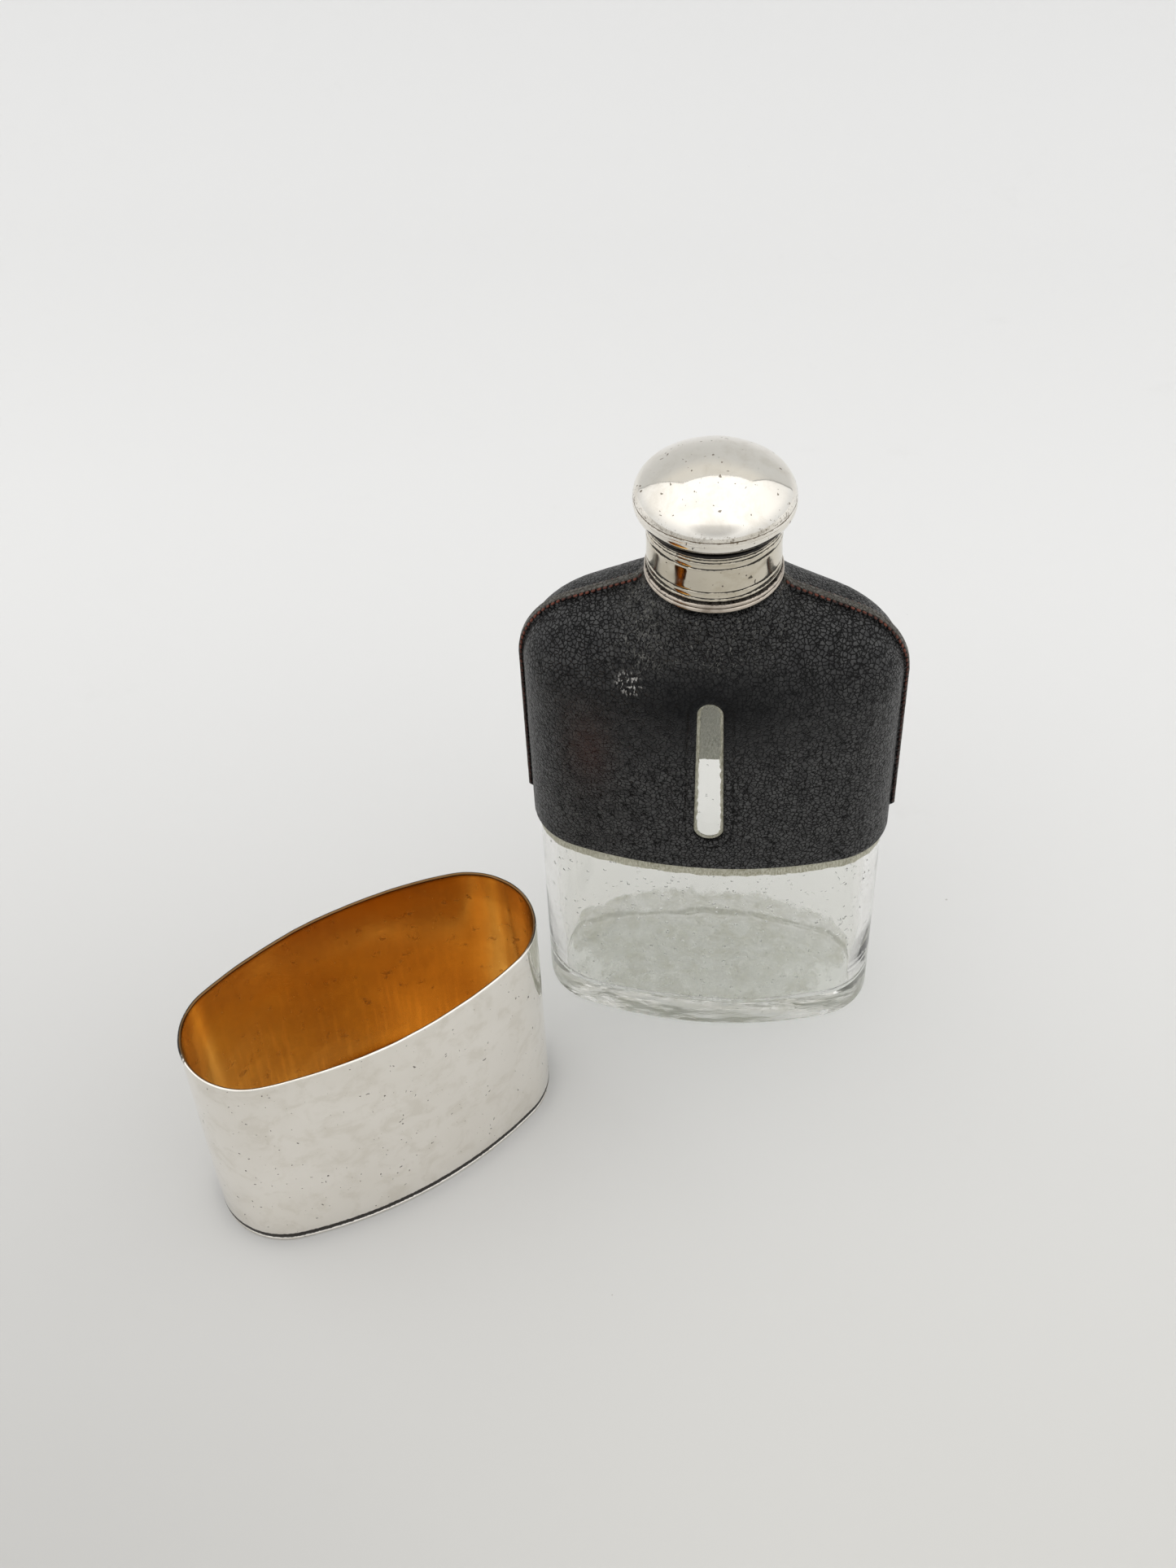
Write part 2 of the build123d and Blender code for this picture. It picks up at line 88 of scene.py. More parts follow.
# Cover
LINING_OFFSETS = (0.06, 0.30)
BACK_LINING_RISE = 2.7
LEATHER_OFFSETS = (0.36, 1.15)
FLANGE_OFFSET = 2.2
FLANGE_THICK = 0.85
FLANGE_LOWER_Z = 60.0
SEAM_GAP = 0.02
SEAM_ROOT = 1.22
STITCH_OFFSET = 1.72
STITCH_PITCH = 1.30
NECK_LIFT = 1.15
LIFT_Z = (108, 114)
LINING_NECK_RADIUS = 10.9
LEATHER_NECK_RADIUS = 11.65
SLOT_X = 0.7
SLOT_Z = (64.2, 102.6)
SLOT_WIDTH = (6.2, 5.2)
SLOT_LOW_Z = SLOT_Z[0] + SLOT_WIDTH[0] / 2
SLOT_HIGH_Z = SLOT_Z[1] - SLOT_WIDTH[1] / 2
SLOT_LINE = 1.95
SLOT_LINING_EDGE = 0.62
SLOT_LINING_FRAY = 0.26

# Cap and collar
COLLAR_BORE = 10.68
COLLAR_FOOT_RADIUS = 11.5
COLLAR_BEAD_Z = 122.2
COLLAR_GROOVE_Z = 123.3
SKIRT_LINES_Z = (125.5, 127.0, 132.5, 134.0, 134.75)
THROAT = (12.85, 135.85)
LIP = (15.2, 137.95)
COVE_HOLLOW_RADIUS = 3.2
LIP_RADIUS = 2.75
DOME_EDGE_Z = 140.0
DOME_EDGE_RADIUS = 4.8
DOME_LINE_Z = 140.6
DOME_SHEET = 0.8

# Cup
CUP_CENTRE = (WALL_LOW + WALL_HIGH)[:2] / 2
CUP_TURN = math.radians(38.3)
CUP_OFFSET = 1.75
CUP_WALL = 0.75
CUP_FOOT_OFFSETS = (1.62, -1.60)


# ---------------------------------------------------------------- sections and skins


def oval_half(width, depth, radius, share):
    """Point on half of a four-arc oval, share 0 to 1 by arc length from +X round the -Y side to -X."""
    side = (width**2 - 2 * width * radius + depth**2) / (2 * (depth - radius))
    angle = np.arctan2(side - depth, width - radius)
    end_length = radius * angle
    quarter = end_length + side * (math.pi / 2 - angle)
    run = share * 2 * quarter
    left = run > quarter
    run = np.where(left, 2 * quarter - run, run)
    on_end = run < end_length
    end_turn = run / radius
    side_turn = angle + (run - end_length) / side
    x = np.where(on_end, width - radius + radius * np.cos(end_turn), side * np.cos(side_turn))
    y = np.where(on_end, radius * np.sin(end_turn), depth - side + side * np.sin(side_turn))
    return np.where(left, -x, x), -y, 2 * quarter


def outline(level, offset, lower_z):
    """Half width and height of the front outline: level 0-1 straight, 1-2 corner arc, 2-3 up to the neck."""
    straight = np.clip(level, 0, 1)
    arc = np.clip(level - 1, 0, 1) * (math.pi / 2 - SHOULDER_RISE)
    rise = np.clip(level - 2, 0, 1)
    radius = SHOULDER_ARC + offset
    arc_x = HALF_WIDTH - SHOULDER_ARC + radius * np.cos(arc)
    arc_z = SHOULDER_Z + radius * np.sin(arc)
    climb = rise * (SHOULDER_TOP_Z + offset - arc_z)
    on_side = level <= 1
    z = np.where(on_side, lower_z + straight * (SHOULDER_Z - lower_z), arc_z + climb)
    x = np.where(on_side, HALF_WIDTH + offset, arc_x - climb / math.tan(SHOULDER_RISE))
    return x, z


def skin_section(level, offset, lower_z):
    """Half width, half depth, end radius and height of the flask's skin at a level and offset."""
    width, z = outline(level, offset, lower_z)
    full_depth = HALF_DEPTH + offset
    blend = np.clip((z - SHOULDER_Z) / (SHOULDER_TOP_Z + offset - SHOULDER_Z), 0, 1) ** ROUNDING
    drop = 1 - (np.maximum(TOP_HALF_DEPTH + offset, 0) / full_depth) ** ROUNDING
    depth = np.minimum(full_depth * (1 - drop * blend) ** (1 / ROUNDING), ROUNDEST * width)
    full_width = HALF_WIDTH + offset
    tight = full_depth**2 / full_width
    fullness = (END_RADIUS + offset - tight) / (full_depth - tight)
    fullness = fullness + (TOP_FULLNESS - fullness) * blend
    tight = depth**2 / width
    return width, depth, tight + fullness * (depth - tight), z


def skin(share, level, offset, lower_z, inset=0.0):
    """Point on the front half of the skin; inset keeps that many millimetres clear of the seam plane."""
    width, depth, radius, z = skin_section(level, offset, lower_z)
    _, _, length = oval_half(width, depth, radius, np.zeros_like(width))
    edge = inset / length
    x, y, _ = oval_half(width, depth, radius, edge + share * (1 - 2 * edge))
    return np.stack([x, y, z], -1)


def smooth_step(value, low, high):
    """Eased ramp from 0 at low to 1 at high."""
    t = np.clip((value - low) / (high - low), 0, 1)
    return t * t * (3 - 2 * t)


def noise_at(points, size, seed=0.0):
    """Smooth noise of roughly -1 to 1 at each point, with features of the given size in millimetres."""
    flat = points.reshape(-1, 3) / size + seed
    return np.array([noise.noise(Vector(p)) for p in flat]).reshape(points.shape[:-1])


def levels(counts, power=1.0):
    """Row levels through the three stretches of the outline, with the given number of steps in each."""
    rows = [np.linspace(0, 1, counts[0], endpoint=False) ** power]
    rows.append(1 + np.linspace(0, 1, counts[1], endpoint=False))
    rows.append(2 + np.linspace(0, 1, counts[2]))
    return np.concatenate(rows)


# ---------------------------------------------------------------- mesh building


def grid_quads(rows, columns, wrap_columns=True, wrap_rows=False):
    """Quads of a grid whose vertices are numbered row by row."""
    r = np.arange(rows if wrap_rows else rows - 1)
    c = np.arange(columns if wrap_columns else columns - 1)
    r, c = np.meshgrid(r, c, indexing="ij")
    nr, nc = (r + 1) % rows, (c + 1) % columns
    quads = [r * columns + c, r * columns + nc, nr * columns + nc, nr * columns + c]
    return np.stack(quads, -1).reshape(-1, 4)


def make_object(name, points_mm, faces, materials, sharp_deg=50):
    """Mesh object from points in millimetres."""
    mesh = bpy.data.meshes.new(name)
    points = (np.asarray(points_mm).reshape(-1, 3) * MM).tolist()
    mesh.from_pydata(points, [], [list(map(int, f)) for f in faces])
    mesh.validate()
    mesh.shade_smooth()
    mesh.set_sharp_from_angle(angle=math.radians(sharp_deg))
    obj = bpy.data.objects.new(name, mesh)
    bpy.context.scene.collection.objects.link(obj)
    for material in materials:
        mesh.materials.append(material)
    return obj


def outward(obj):
    """Turn every face of a closed mesh outwards."""
    bm = bmesh.new()
    bm.from_mesh(obj.data)
    bmesh.ops.recalc_face_normals(bm, faces=bm.faces)
    bm.to_mesh(obj.data)
    bm.free()


def place(obj, body, nodes):
    """Hand a finished piece to the frame."""
    outward(obj)
    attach(obj, body)
    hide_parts(*nodes)
    return obj


def add_attribute(obj, name, values):
    """Store one number per vertex for the materials to read."""
    attribute = obj.data.attributes.new(name, "FLOAT", "POINT")
    attribute.data.foreach_set("value", np.asarray(values, np.float32).ravel())


def arc(centre, radius, start_deg, end_deg, steps):
    """Points of a circular arc in a profile of radius and height."""
    turn = np.radians(np.linspace(start_deg, end_deg, steps))
    return [(centre[0] + radius * math.cos(a), centre[1] + radius * math.sin(a)) for a in turn]


def lathe(name, profile, materials, columns=192, wobble=0.0):
    """Closed ring turned from a closed profile of (radius, height) points."""
    profile = np.array(profile)
    turn = np.arange(columns) * TAU / columns
    radius, z = profile[:, :1], profile[:, 1:]
    points = np.stack([radius * np.cos(turn), radius * np.sin(turn), z + 0 * turn], -1)
    if wobble:
        bump = noise_at(points, 9.0, 5.0) * wobble
        points[..., 0] *= 1 + bump / np.maximum(radius, 1)
        points[..., 1] *= 1 + bump / np.maximum(radius, 1)
    faces = grid_quads(len(profile), columns, wrap_rows=True)
    return make_object(name, points, faces, materials)


def fan(start, columns, centre):
    """Triangles from a ring of vertices to one centre vertex."""
    return [(start + c, start + (c + 1) % columns, centre) for c in range(columns)]


# ---------------------------------------------------------------- glass bottle


def oval_ring(level, offset, lower_z, columns):
    """Whole horizontal ring of the skin, starting at +X and going round by the front."""
    share = np.arange(columns // 2) / (columns // 2)
    front = skin(share, np.full_like(share, level), np.full_like(share, offset), lower_z)
    return np.concatenate([front, front * [-1, -1, 1]])


def circle_ring(radius, z, columns):
    """Ring of a circle, numbered like oval_ring."""
    turn = -np.arange(columns) * TAU / columns
    return np.stack([radius * np.cos(turn), radius * np.sin(turn), np.full(columns, z)], -1)


def shoulder_levels(lower_z, straight_step, steps):
    """Levels from the bottom of the straight side to the neck."""
    straight = int((SHOULDER_Z - lower_z) / straight_step)
    return levels((straight, steps, steps))


def glass_outside(columns):
    """Rings of the bottle's outside, from the middle of the base to the lip."""
    rings = [oval_ring(0, offset, 0, columns) for offset in np.linspace(-12, -1.6, 9)]
    for turn in np.radians(np.linspace(0, 80, 6)):
        rings.append(oval_ring(0, math.sin(turn) - 1, 1 - math.cos(turn), columns))
    for level in shoulder_levels(1, 0.75, 26):
        rings.append(oval_ring(level, 0, 1, columns))
    fillet, lip = 1.1, 0.8
    neck = [(11.2, SHOULDER_TOP_Z)]
    neck += arc((NECK_RADIUS + fillet, SHOULDER_TOP_Z + fillet), fillet, 270, 180, 6)
    neck += [(NECK_RADIUS, z) for z in np.linspace(122, GLASS_HIGH[2] - 1.2, 5)]
    neck += arc((NECK_RADIUS - lip, GLASS_HIGH[2] - lip), lip, 0, 90, 6)
    return rings + [circle_ring(radius, z, columns) for radius, z in neck]


def glass_inside(columns):
    """Rings of the bottle's inside, from the mouth down to the middle of the floor."""
    wall, mouth, throat, corner = -GLASS_WALL, 0.6, 1.6, 3
    bore = arc((BORE_RADIUS + mouth, GLASS_HIGH[2] - mouth), mouth, 90, 180, 5)
    bore += [(BORE_RADIUS, z) for z in np.linspace(132, 119, 6)]
    bore += arc((BORE_RADIUS + throat, SHOULDER_TOP_Z + wall + throat), throat, 180, 270, 6)
    bore += [(9.7, SHOULDER_TOP_Z + wall)]
    rings = [circle_ring(radius, z, columns) for radius, z in bore]
    lower_z = GLASS_FLOOR + corner
    for level in shoulder_levels(lower_z, 0.75, 26)[::-1]:
        rings.append(oval_ring(level, wall, lower_z, columns))
    for turn in np.radians(np.linspace(12, 90, 7)):
        inset = corner * (1 - math.cos(turn))
        rings.append(oval_ring(0, wall - inset, lower_z - corner * math.sin(turn), columns))
    rings += [oval_ring(0, offset, GLASS_FLOOR, columns) for offset in np.linspace(-7.2, -13.2, 6)]
    return rings


def glass_bottle(material):
    """Blown bottle: uneven thick bottom, wavy inner floor, plain neck."""
    columns = 320
    outside, inside = glass_outside(columns), glass_inside(columns)
    points = np.array(outside + inside)
    inner = np.arange(len(points))[:, None] >= len(outside)
    wave = noise_at(points, 26, 3.1) * 0.5 + noise_at(points, 9, 8.7) * 0.16
    low = smooth_step(points[..., 2], 24, 8)
    points[..., 2] += inner * low * wave * FLOOR_WAVE
    centre = points * [1, 1, 0]
    radial = centre / np.maximum(np.linalg.norm(centre, axis=-1, keepdims=True), 1)
    body = smooth_step(points[..., 2], 1.5, 6) * smooth_step(points[..., 2], 122, 112)
    ripple = noise_at(points, 7, 1.3) * 0.07 + noise_at(points, 16, 4.4) * 0.12
    points += radial * (inner * body * (ripple - low * (0.35 + 0.5 * wave)))[..., None]
    shape = points.reshape(-1, 3)
    base = np.array([0, 0, 0])
    floor = points[-1].mean(0)
    faces = grid_quads(len(points), columns).tolist()
    faces += fan(0, columns, len(shape)) + fan((len(points) - 1) * columns, columns, len(shape) + 1)
    obj = make_object("bottle", np.vstack([shape, base, floor]), faces, [material], sharp_deg=80)
    add_attribute(obj, "inside", np.append(np.broadcast_to(inner, points.shape[:2]).ravel(), [0, 1]))
    return place(obj, "flask", ["glass_bottle"])


# ---------------------------------------------------------------- cover: lining, leather, stitching


def slot_distance(x, z):
    """Distance outside the edge of the window slot, negative inside it."""
    nearest = np.clip(z, SLOT_LOW_Z, SLOT_HIGH_Z)
    share = (nearest - SLOT_LOW_Z) / (SLOT_HIGH_Z - SLOT_LOW_Z)
    radius = (SLOT_WIDTH[0] + share * (SLOT_WIDTH[1] - SLOT_WIDTH[0])) / 2
    return np.hypot(x - SLOT_X, z - nearest) - radius


def slot_cutter(inset, rough=0.0):
    """Prism of the window slot, its outline made ragged by the given number of millimetres."""
    low_radius, high_radius = SLOT_WIDTH[0] / 2 - inset, SLOT_WIDTH[1] / 2 - inset
    share = np.linspace(0, 1, 110)[1:-1]
    across = low_radius + share * (high_radius - low_radius)
    height = SLOT_LOW_Z + share * (SLOT_HIGH_Z - SLOT_LOW_Z)
    right, left = list(zip(SLOT_X + across, height)), list(zip(SLOT_X - across, height))
    outline_points = arc((SLOT_X, SLOT_LOW_Z), low_radius, 180, 360, 40) + right
    outline_points += arc((SLOT_X, SLOT_HIGH_Z), high_radius, 0, 180, 40) + left[::-1]
    flat = np.array([(x, 0, z) for x, z in outline_points])
    shift = noise_at(flat, 1.1, 2.0) + 0.6 * noise_at(flat, 0.45, 7.0)
    away = (flat - [SLOT_X, 0, 0]) * [1, 0, 0]
    flat += np.sign(away) * shift[:, None] * rough
    count = len(flat)
    near, far = flat + [0, -2 * HALF_DEPTH, 0], flat + [0, -HALF_DEPTH / 2, 0]
    sides = [(i, (i + 1) % count, (i + 1) % count + count, i + count) for i in range(count)]
    faces = sides + [list(range(count)), list(range(2 * count - 1, count - 1, -1))]
    obj = make_object("slot_cutter", np.vstack([near, far]), faces, [])
    outward(obj)
    return obj


def cut(obj, cutter):
    """Subtract the cutter from a piece and keep the result as the piece's mesh."""
    modifier = obj.modifiers.new("cut", "BOOLEAN")
    modifier.operation = "DIFFERENCE"
    modifier.object = cutter
    modifier.solver = "EXACT"
    graph = bpy.context.evaluated_depsgraph_get()
    mesh = bpy.data.meshes.new_from_object(obj.evaluated_get(graph))
    obj.modifiers.clear()
    obj.data = mesh
    bpy.data.objects.remove(cutter)


def paired_cap(outer, inner, ratio):
    """Faces joining a row of vertices to another row that has one vertex for every ratio of its own."""
    faces = []
    for i in range(len(inner) - 1):
        faces.append(list(outer[i * ratio:(i + 1) * ratio + 1]) + [inner[i + 1], inner[i]])
    return faces


def closed_panel(name, rows, outer_count, ratio, materials, side):
    """Closed panel from rows of points that each run round one section of it."""
    rows = np.array(rows)
    rows[..., 1] *= -side
    count = rows.shape[1]
    inner_count = (outer_count - 1) // ratio + 1
    flange = (count - outer_count - inner_count) // 2
    faces = grid_quads(len(rows), count).tolist()
    for row in (0, len(rows) - 1):
        start = row * count
        outer = np.arange(outer_count) + start
        inner = (np.arange(inner_count) + start + outer_count + flange)[::-1].tolist()
        left = list(range(start + outer_count - 1, start + outer_count + flange + 1))
        right = list(range(start + count - flange - 1, start + count)) + [start]
        faces += paired_cap(outer.tolist(), inner, ratio) + [left, right]
    return make_object(name, rows, faces, materials, sharp_deg=60)


def tuck_rows(rows, radius, steps):
    """Further rows that run inwards from the top row to a circle under the collar."""
    top = rows[-1]
    plan = np.hypot(top[:, 0], top[:, 1])[:, None]
    circle = top * [1, 1, 0] * radius / plan + top * [0, 0, 1]
    return rows + [top + (circle - top) * share for share in np.linspace(0, 1, steps + 1)[1:]]


def lining(side, material):
    """Cloth lining of one panel: side is -1 in front and +1 behind."""
    count = 400
    share = np.linspace(0, 1, count + 1)
    seed = 11.0 + side
    base = skin(share, 0 * share, 0 * share + LINING_OFFSETS[1], LINING_LOW[2])
    fray = noise_at(base, 3.1, seed) * 0.30 + noise_at(base, 0.7, seed + 5) * 0.22
    lower = LINING_LOW[2] - 0.1 + fray + (BACK_LINING_RISE if side > 0 else 0)
    stretch = np.concatenate([np.linspace(0, 0.075, 14), np.linspace(0.09, 1, 40, endpoint=False)])
    rows = []
    for level in np.concatenate([stretch, levels((1, 24, 20))[1:]]):
        out = share * 0 + LINING_OFFSETS[1]
        if level < 0.1:
            out = out + noise_at(base + [0, 0, 40 * level], 1.4, seed) * 0.05
        outer = skin(share, level + 0 * share, out, lower, SEAM_GAP)
        inner = skin(share[::-1], level + 0 * share, LINING_OFFSETS[0] + 0 * share, lower[::-1], SEAM_GAP)
        rows.append(np.concatenate([outer, inner]))
    name = "lining_cloth_front" if side < 0 else "lining_cloth_back"
    obj = closed_panel(name, tuck_rows(rows, LINING_NECK_RADIUS, 2), count + 1, 1, [material], side)
    if side < 0:
        cut(obj, slot_cutter(SLOT_LINING_EDGE, SLOT_LINING_FRAY))
    return place(obj, "flask", ["lining_front" if side < 0 else "lining_back"])


def flange_profile():
    """Section of the seam flange as offset and depth: fillet, front face, rounded edge, inner face."""
    face, root, edge_round, inner_round = SEAM_GAP + FLANGE_THICK, 0.35, 0.28, 0.12
    turns = np.radians([22, 45, 68, 90])
    fillet = [(1.5 - root * math.cos(a), face + root - root * math.sin(a)) for a in turns]
    edge = arc((FLANGE_OFFSET - edge_round, face - edge_round), edge_round, 90, 0, 5) + [(FLANGE_OFFSET, 0.3)]
    edge += arc((FLANGE_OFFSET - inner_round, SEAM_GAP + inner_round), inner_round, 0, -90, 3)
    return np.array(fillet + [(1.7, face)] + edge + [(1.75, SEAM_GAP), (1.3, SEAM_GAP), (0.8, SEAM_GAP)])


def flange_points(level, profile, amount, lift, side, lower_z):
    """Points of one end of a panel's section: side is +1 at the right and -1 at the left."""
    offset, depth = profile[:, 0], profile[:, 1]
    base = LEATHER_OFFSETS[1]
    even = np.linspace(1.1, 0.05, len(profile))
    raised = offset > base
    offset = np.where(raised, base + (offset - base) * amount, offset)
    offset = offset + lift * smooth_step(offset, LEATHER_OFFSETS[0], base)
    depth = np.where(raised | (amount < 0.5), even + (depth - even) * amount, depth)
    width, _, radius, z = skin_section(level + 0 * offset, offset, lower_z)
    return np.stack([side * (width - depth**2 / (2 * radius)), -depth, z], -1)


def neck_lift(plan):
    """How far the leather swells up under the collar, from the distance to the neck's axis."""
    return NECK_LIFT * smooth_step(plan, 15.8, 12.8)


def leather_relief(points, side):
    """How far the leather's outer face stands off its mean surface."""
    x, z = points[..., 0], points[..., 2]
    plan = np.hypot(x, points[..., 1])
    grain = leather_grain(points, side)
    relief = noise_at(points, 11, 2.2) * 0.05
    relief += noise_at(points, 1.15, 6.1) * 0.035 * grain
    relief += noise_at(points * [1, 1, 0.7], 0.8, 9.4) * 0.022 * grain
    turn = np.arctan2(points[..., 1], x)
    pleats = noise_at(np.stack([np.cos(turn) * 9, np.sin(turn) * 9, plan * 0.12], -1), 0.9, 4.0)
    near_neck = smooth_step(plan, 27, 14) * smooth_step(z, 104, 113)
    relief += pleats * 0.10 * near_neck
    relief += neck_lift(plan) * smooth_step(z, *LIFT_Z)
    relief -= 0.25 * smooth_step(z, LEATHER_LOW[2] + 0.4, LEATHER_LOW[2]) ** 2
    if side < 0:
        away = slot_distance(x, z)
        relief -= 0.42 * (1 - np.clip(away / 0.7, 0, 1)) ** 2
        relief -= 0.22 * np.exp(-(((away - SLOT_LINE) / 0.30) ** 2))
        relief += 0.05 * np.exp(-(((away - 1.2) / 0.5) ** 2))
    return relief


def leather_grain(points, side):
    """Strength of the pebbled grain: worn smooth on the flat upper part, full at the sides and the neck."""
    x, z = points[..., 0], points[..., 2]
    worn = np.exp(-((x / 25) ** 2) - ((z - 101) / 12) ** 2)
    if side > 0:
        worn = 0.7 * np.exp(-(((x - 4) / 24) ** 2) - ((z - 88) / 18) ** 2)
    return 1 - 0.88 * worn


def leather_columns(count):
    """Shares across the outer face, closer together round the window slot."""
    share = np.linspace(0, 1, 4001)
    middle = 1.1 * np.exp(-(((share - 0.5) / 0.075) ** 2))
    ends = 0.8 * np.exp(-((np.minimum(share, 1 - share) / 0.02) ** 2))
    total = np.cumsum(1 + middle + ends)
    return np.interp(np.linspace(total[0], total[-1], count), total, share)


def leather(side, material):
    """One moulded leather panel with its seam flange: side is -1 in front and +1 behind."""
    ratio, count = 4, 333
    share = leather_columns(count)
    inner_share = share[::ratio][::-1]
    profile = flange_profile()
    lower_z = LEATHER_LOW[2]
    edge_rows = np.array([0, 0.12, 0.3, 0.55, 0.9, 1.2]) / (SHOULDER_Z - lower_z)
    straight = np.concatenate([edge_rows[:-1], np.linspace(edge_rows[-1], 1, 150, endpoint=False)])
    rows = []
    for level in np.concatenate([straight, levels((1, 56, 46))[1:]]):
        row_levels = level + 0 * share
        mean = skin(share, row_levels, LEATHER_OFFSETS[1] + 0 * share, lower_z, SEAM_ROOT)
        mirrored = mean * [1, -side, 1]
        offset = LEATHER_OFFSETS[1] + leather_relief(mirrored, side)
        outer = skin(share, row_levels, offset, lower_z, SEAM_ROOT)
        even = 0 * inner_share
        inner = skin(inner_share, level + even, LEATHER_OFFSETS[0] + even, lower_z, SEAM_GAP)
        x, _, z = mean[0]
        amount = smooth_step(z, FLANGE_LOWER_Z - 0.4, FLANGE_LOWER_Z + 0.5) * smooth_step(x, 12.2, 13.0)
        amount = np.clip(amount, 0.03, 1) * (1 + 0.03 * noise.noise(Vector((level * 22, side, 0))))
        lift = neck_lift(x) * smooth_step(z, *LIFT_Z)
        left = flange_points(level, profile, amount, lift, -1, lower_z)
        right = flange_points(level, profile, amount, lift, 1, lower_z)[::-1]
        rows.append(np.concatenate([outer, left, inner, right]))
    name = "leather_cover_front" if side < 0 else "leather_cover_back"
    obj = closed_panel(name, tuck_rows(rows, LEATHER_NECK_RADIUS, 3), count, ratio, [material], side)
    if side < 0:
        cut(obj, slot_cutter(0.0))
    mark_leather(obj, side)
    return place(obj, "flask", ["leather_front" if side < 0 else "leather_back"])


def mark_leather(obj, side):
    """Mark where the leather is grained, creased, given painted glints, reddened or dark at an edge."""
    points = np.array([v.co for v in obj.data.vertices]) / MM
    plan = np.hypot(points[:, 0], points[:, 1])
    x, z = points[:, 0], points[:, 2]
    neck = smooth_step(plan, 22, 14) * smooth_step(z, 107, 112) * (1.0 if side < 0 else 0.4)
    edge = smooth_step(seam_offset(x, z), FLANGE_OFFSET - 0.35, FLANGE_OFFSET - 0.1) * (plan > 13.5)
    add_attribute(obj, "grain", leather_grain(points, side))
    add_attribute(obj, "neck", neck)
    add_attribute(obj, "drawn", np.exp(-(((x + 13.5) / 4.5) ** 2)) * smooth_step(z, 106, 111))
    add_attribute(obj, "edge", edge)
    if side < 0:
        # patch left of the neck that gets painted glints (painted highlights)
        add_attribute(obj, "painted_glint_patch", smooth_step(np.hypot((x + 15.5) / 1.1, z - 105.4), 3.2, 1.2))
        add_attribute(obj, "red", np.exp(-(((x + 24) / 4) ** 2) - ((z - 86) / 9) ** 2))
        away = slot_distance(x, z)
        stamped = 0.75 * np.exp(-(((away - SLOT_LINE) / 0.22) ** 2))
        add_attribute(obj, "rim", np.maximum(smooth_step(away, 0.35, 0.05), stamped))


def seam_offset(x, z):
    """Distance of a point of the seam plane outside the glass's front outline."""
    across, up = np.abs(x) - HALF_WIDTH + SHOULDER_ARC, z - SHOULDER_Z
    turn = np.clip(np.arctan2(up, across), 0, math.pi / 2 - SHOULDER_RISE)
    return across * np.cos(turn) + up * np.sin(turn) - SHOULDER_ARC


def seam_path(offset, spacing):
    """Positions and headings along the right-hand seam, evenly spaced."""
    fine = np.linspace(0, 3, 3001)
    x, z = outline(fine, offset + 0 * fine, LEATHER_LOW[2])
    x, z = outline(fine, offset + neck_lift(x) * smooth_step(z, *LIFT_Z), LEATHER_LOW[2])
    run = np.append(0, np.cumsum(np.hypot(np.diff(x), np.diff(z))))
    start = np.interp(FLANGE_LOWER_Z + 1.4, z, run)
    stop = run[x > 14.4][-1]
    where = np.arange(start, stop, spacing)
    px, pz = np.interp(where, run, x), np.interp(where, run, z)
    hx, hz = np.gradient(px), np.gradient(pz)
    size = np.hypot(hx, hz)
    return px, pz, hx / size, hz / size


def stitches(side, end, material):
    """Row of saddle stitches on one face of a flange: side -1 front, +1 back; end -1 left, +1 right."""
    around, along, radius = 10, 9, 0.26
    turn = np.arange(around) * TAU / around
    run = np.linspace(-1, 1, along)
    thick = radius * np.sqrt(np.maximum(1 - (np.abs(run) ** 3.5), 0.02))
    points, faces = [], []
    random = np.random.default_rng(40 + 3 * side + end)
    for x, z, hx, hz in zip(*seam_path(STITCH_OFFSET, STITCH_PITCH)):
        slant = random.normal(0.13, 0.03)
        length = random.normal(0.52, 0.02)
        across = thick[:, None] * np.cos(turn) + slant * run[:, None] * 0.5
        lift = thick[:, None] * np.sin(turn) + 0.07 - 0.16 * run[:, None] ** 4
        forward = run[:, None] * length + 0 * turn
        px = x + hx * forward + hz * across
        pz = z + hz * forward - hx * across
        depth = SEAM_GAP + FLANGE_THICK + lift + random.normal(0, 0.01)
        start = len(points) * around * along
        points.append(np.stack([end * px, side * depth, pz], -1).reshape(-1, 3))
        faces += (grid_quads(along, around) + start).tolist()
        for end_start in (start, start + (along - 1) * around):
            faces.append(list(range(end_start, end_start + around)))
    label = ("front" if side < 0 else "back") + ("_left" if end < 0 else "_right")
    obj = make_object("stitches_" + label, np.concatenate(points), faces, [material])
    return place(obj, "flask", ["thread_" + label])


# ---------------------------------------------------------------- neck fitting and cap


def arc_between(start, stop, radius, steps, side):
    """Arc through two profile points; side is the way its centre lies from the chord, +1 left, -1 right."""
    start, stop = np.array(start, float), np.array(stop, float)
    chord = stop - start
    half = np.linalg.norm(chord) / 2
    normal = np.array([-chord[1], chord[0]]) / (2 * half)
    centre = (start + stop) / 2 + side * normal * math.sqrt(radius**2 - half**2)
    first = math.degrees(math.atan2(*(start - centre)[::-1]))
    last = math.degrees(math.atan2(*(stop - centre)[::-1]))
    last = first + (last - first + 180) % 360 - 180
    return arc(centre, radius, first, last, steps)


def groove(radius, z, width=0.30, depth=0.20):
    """Turned line on an upright wall, going upwards."""
    span = np.linspace(-1, 1, 9)
    return [(radius - depth * (1 + math.cos(math.pi * s)) / 2, z + s * width * 0.75) for s in span]


def add_grime_and_shade(obj, lines):
    """Mark dark bands round a turned piece at heights given as (z, width, strength): soiling in some places,
    painted shade and painted dark reflection in others.
    """
    points = np.array([v.co for v in obj.data.vertices]) / MM
    patchy = 0.75 + 0.5 * noise_at(points, 3.0, 6.0)
    grime_and_painted_shade = sum(strength * np.exp(-(((points[:, 2] - z) / width) ** 2)) for z, width, strength in lines)
    add_attribute(obj, "grime_and_painted_shade", np.clip(grime_and_painted_shade * patchy, 0, 1))


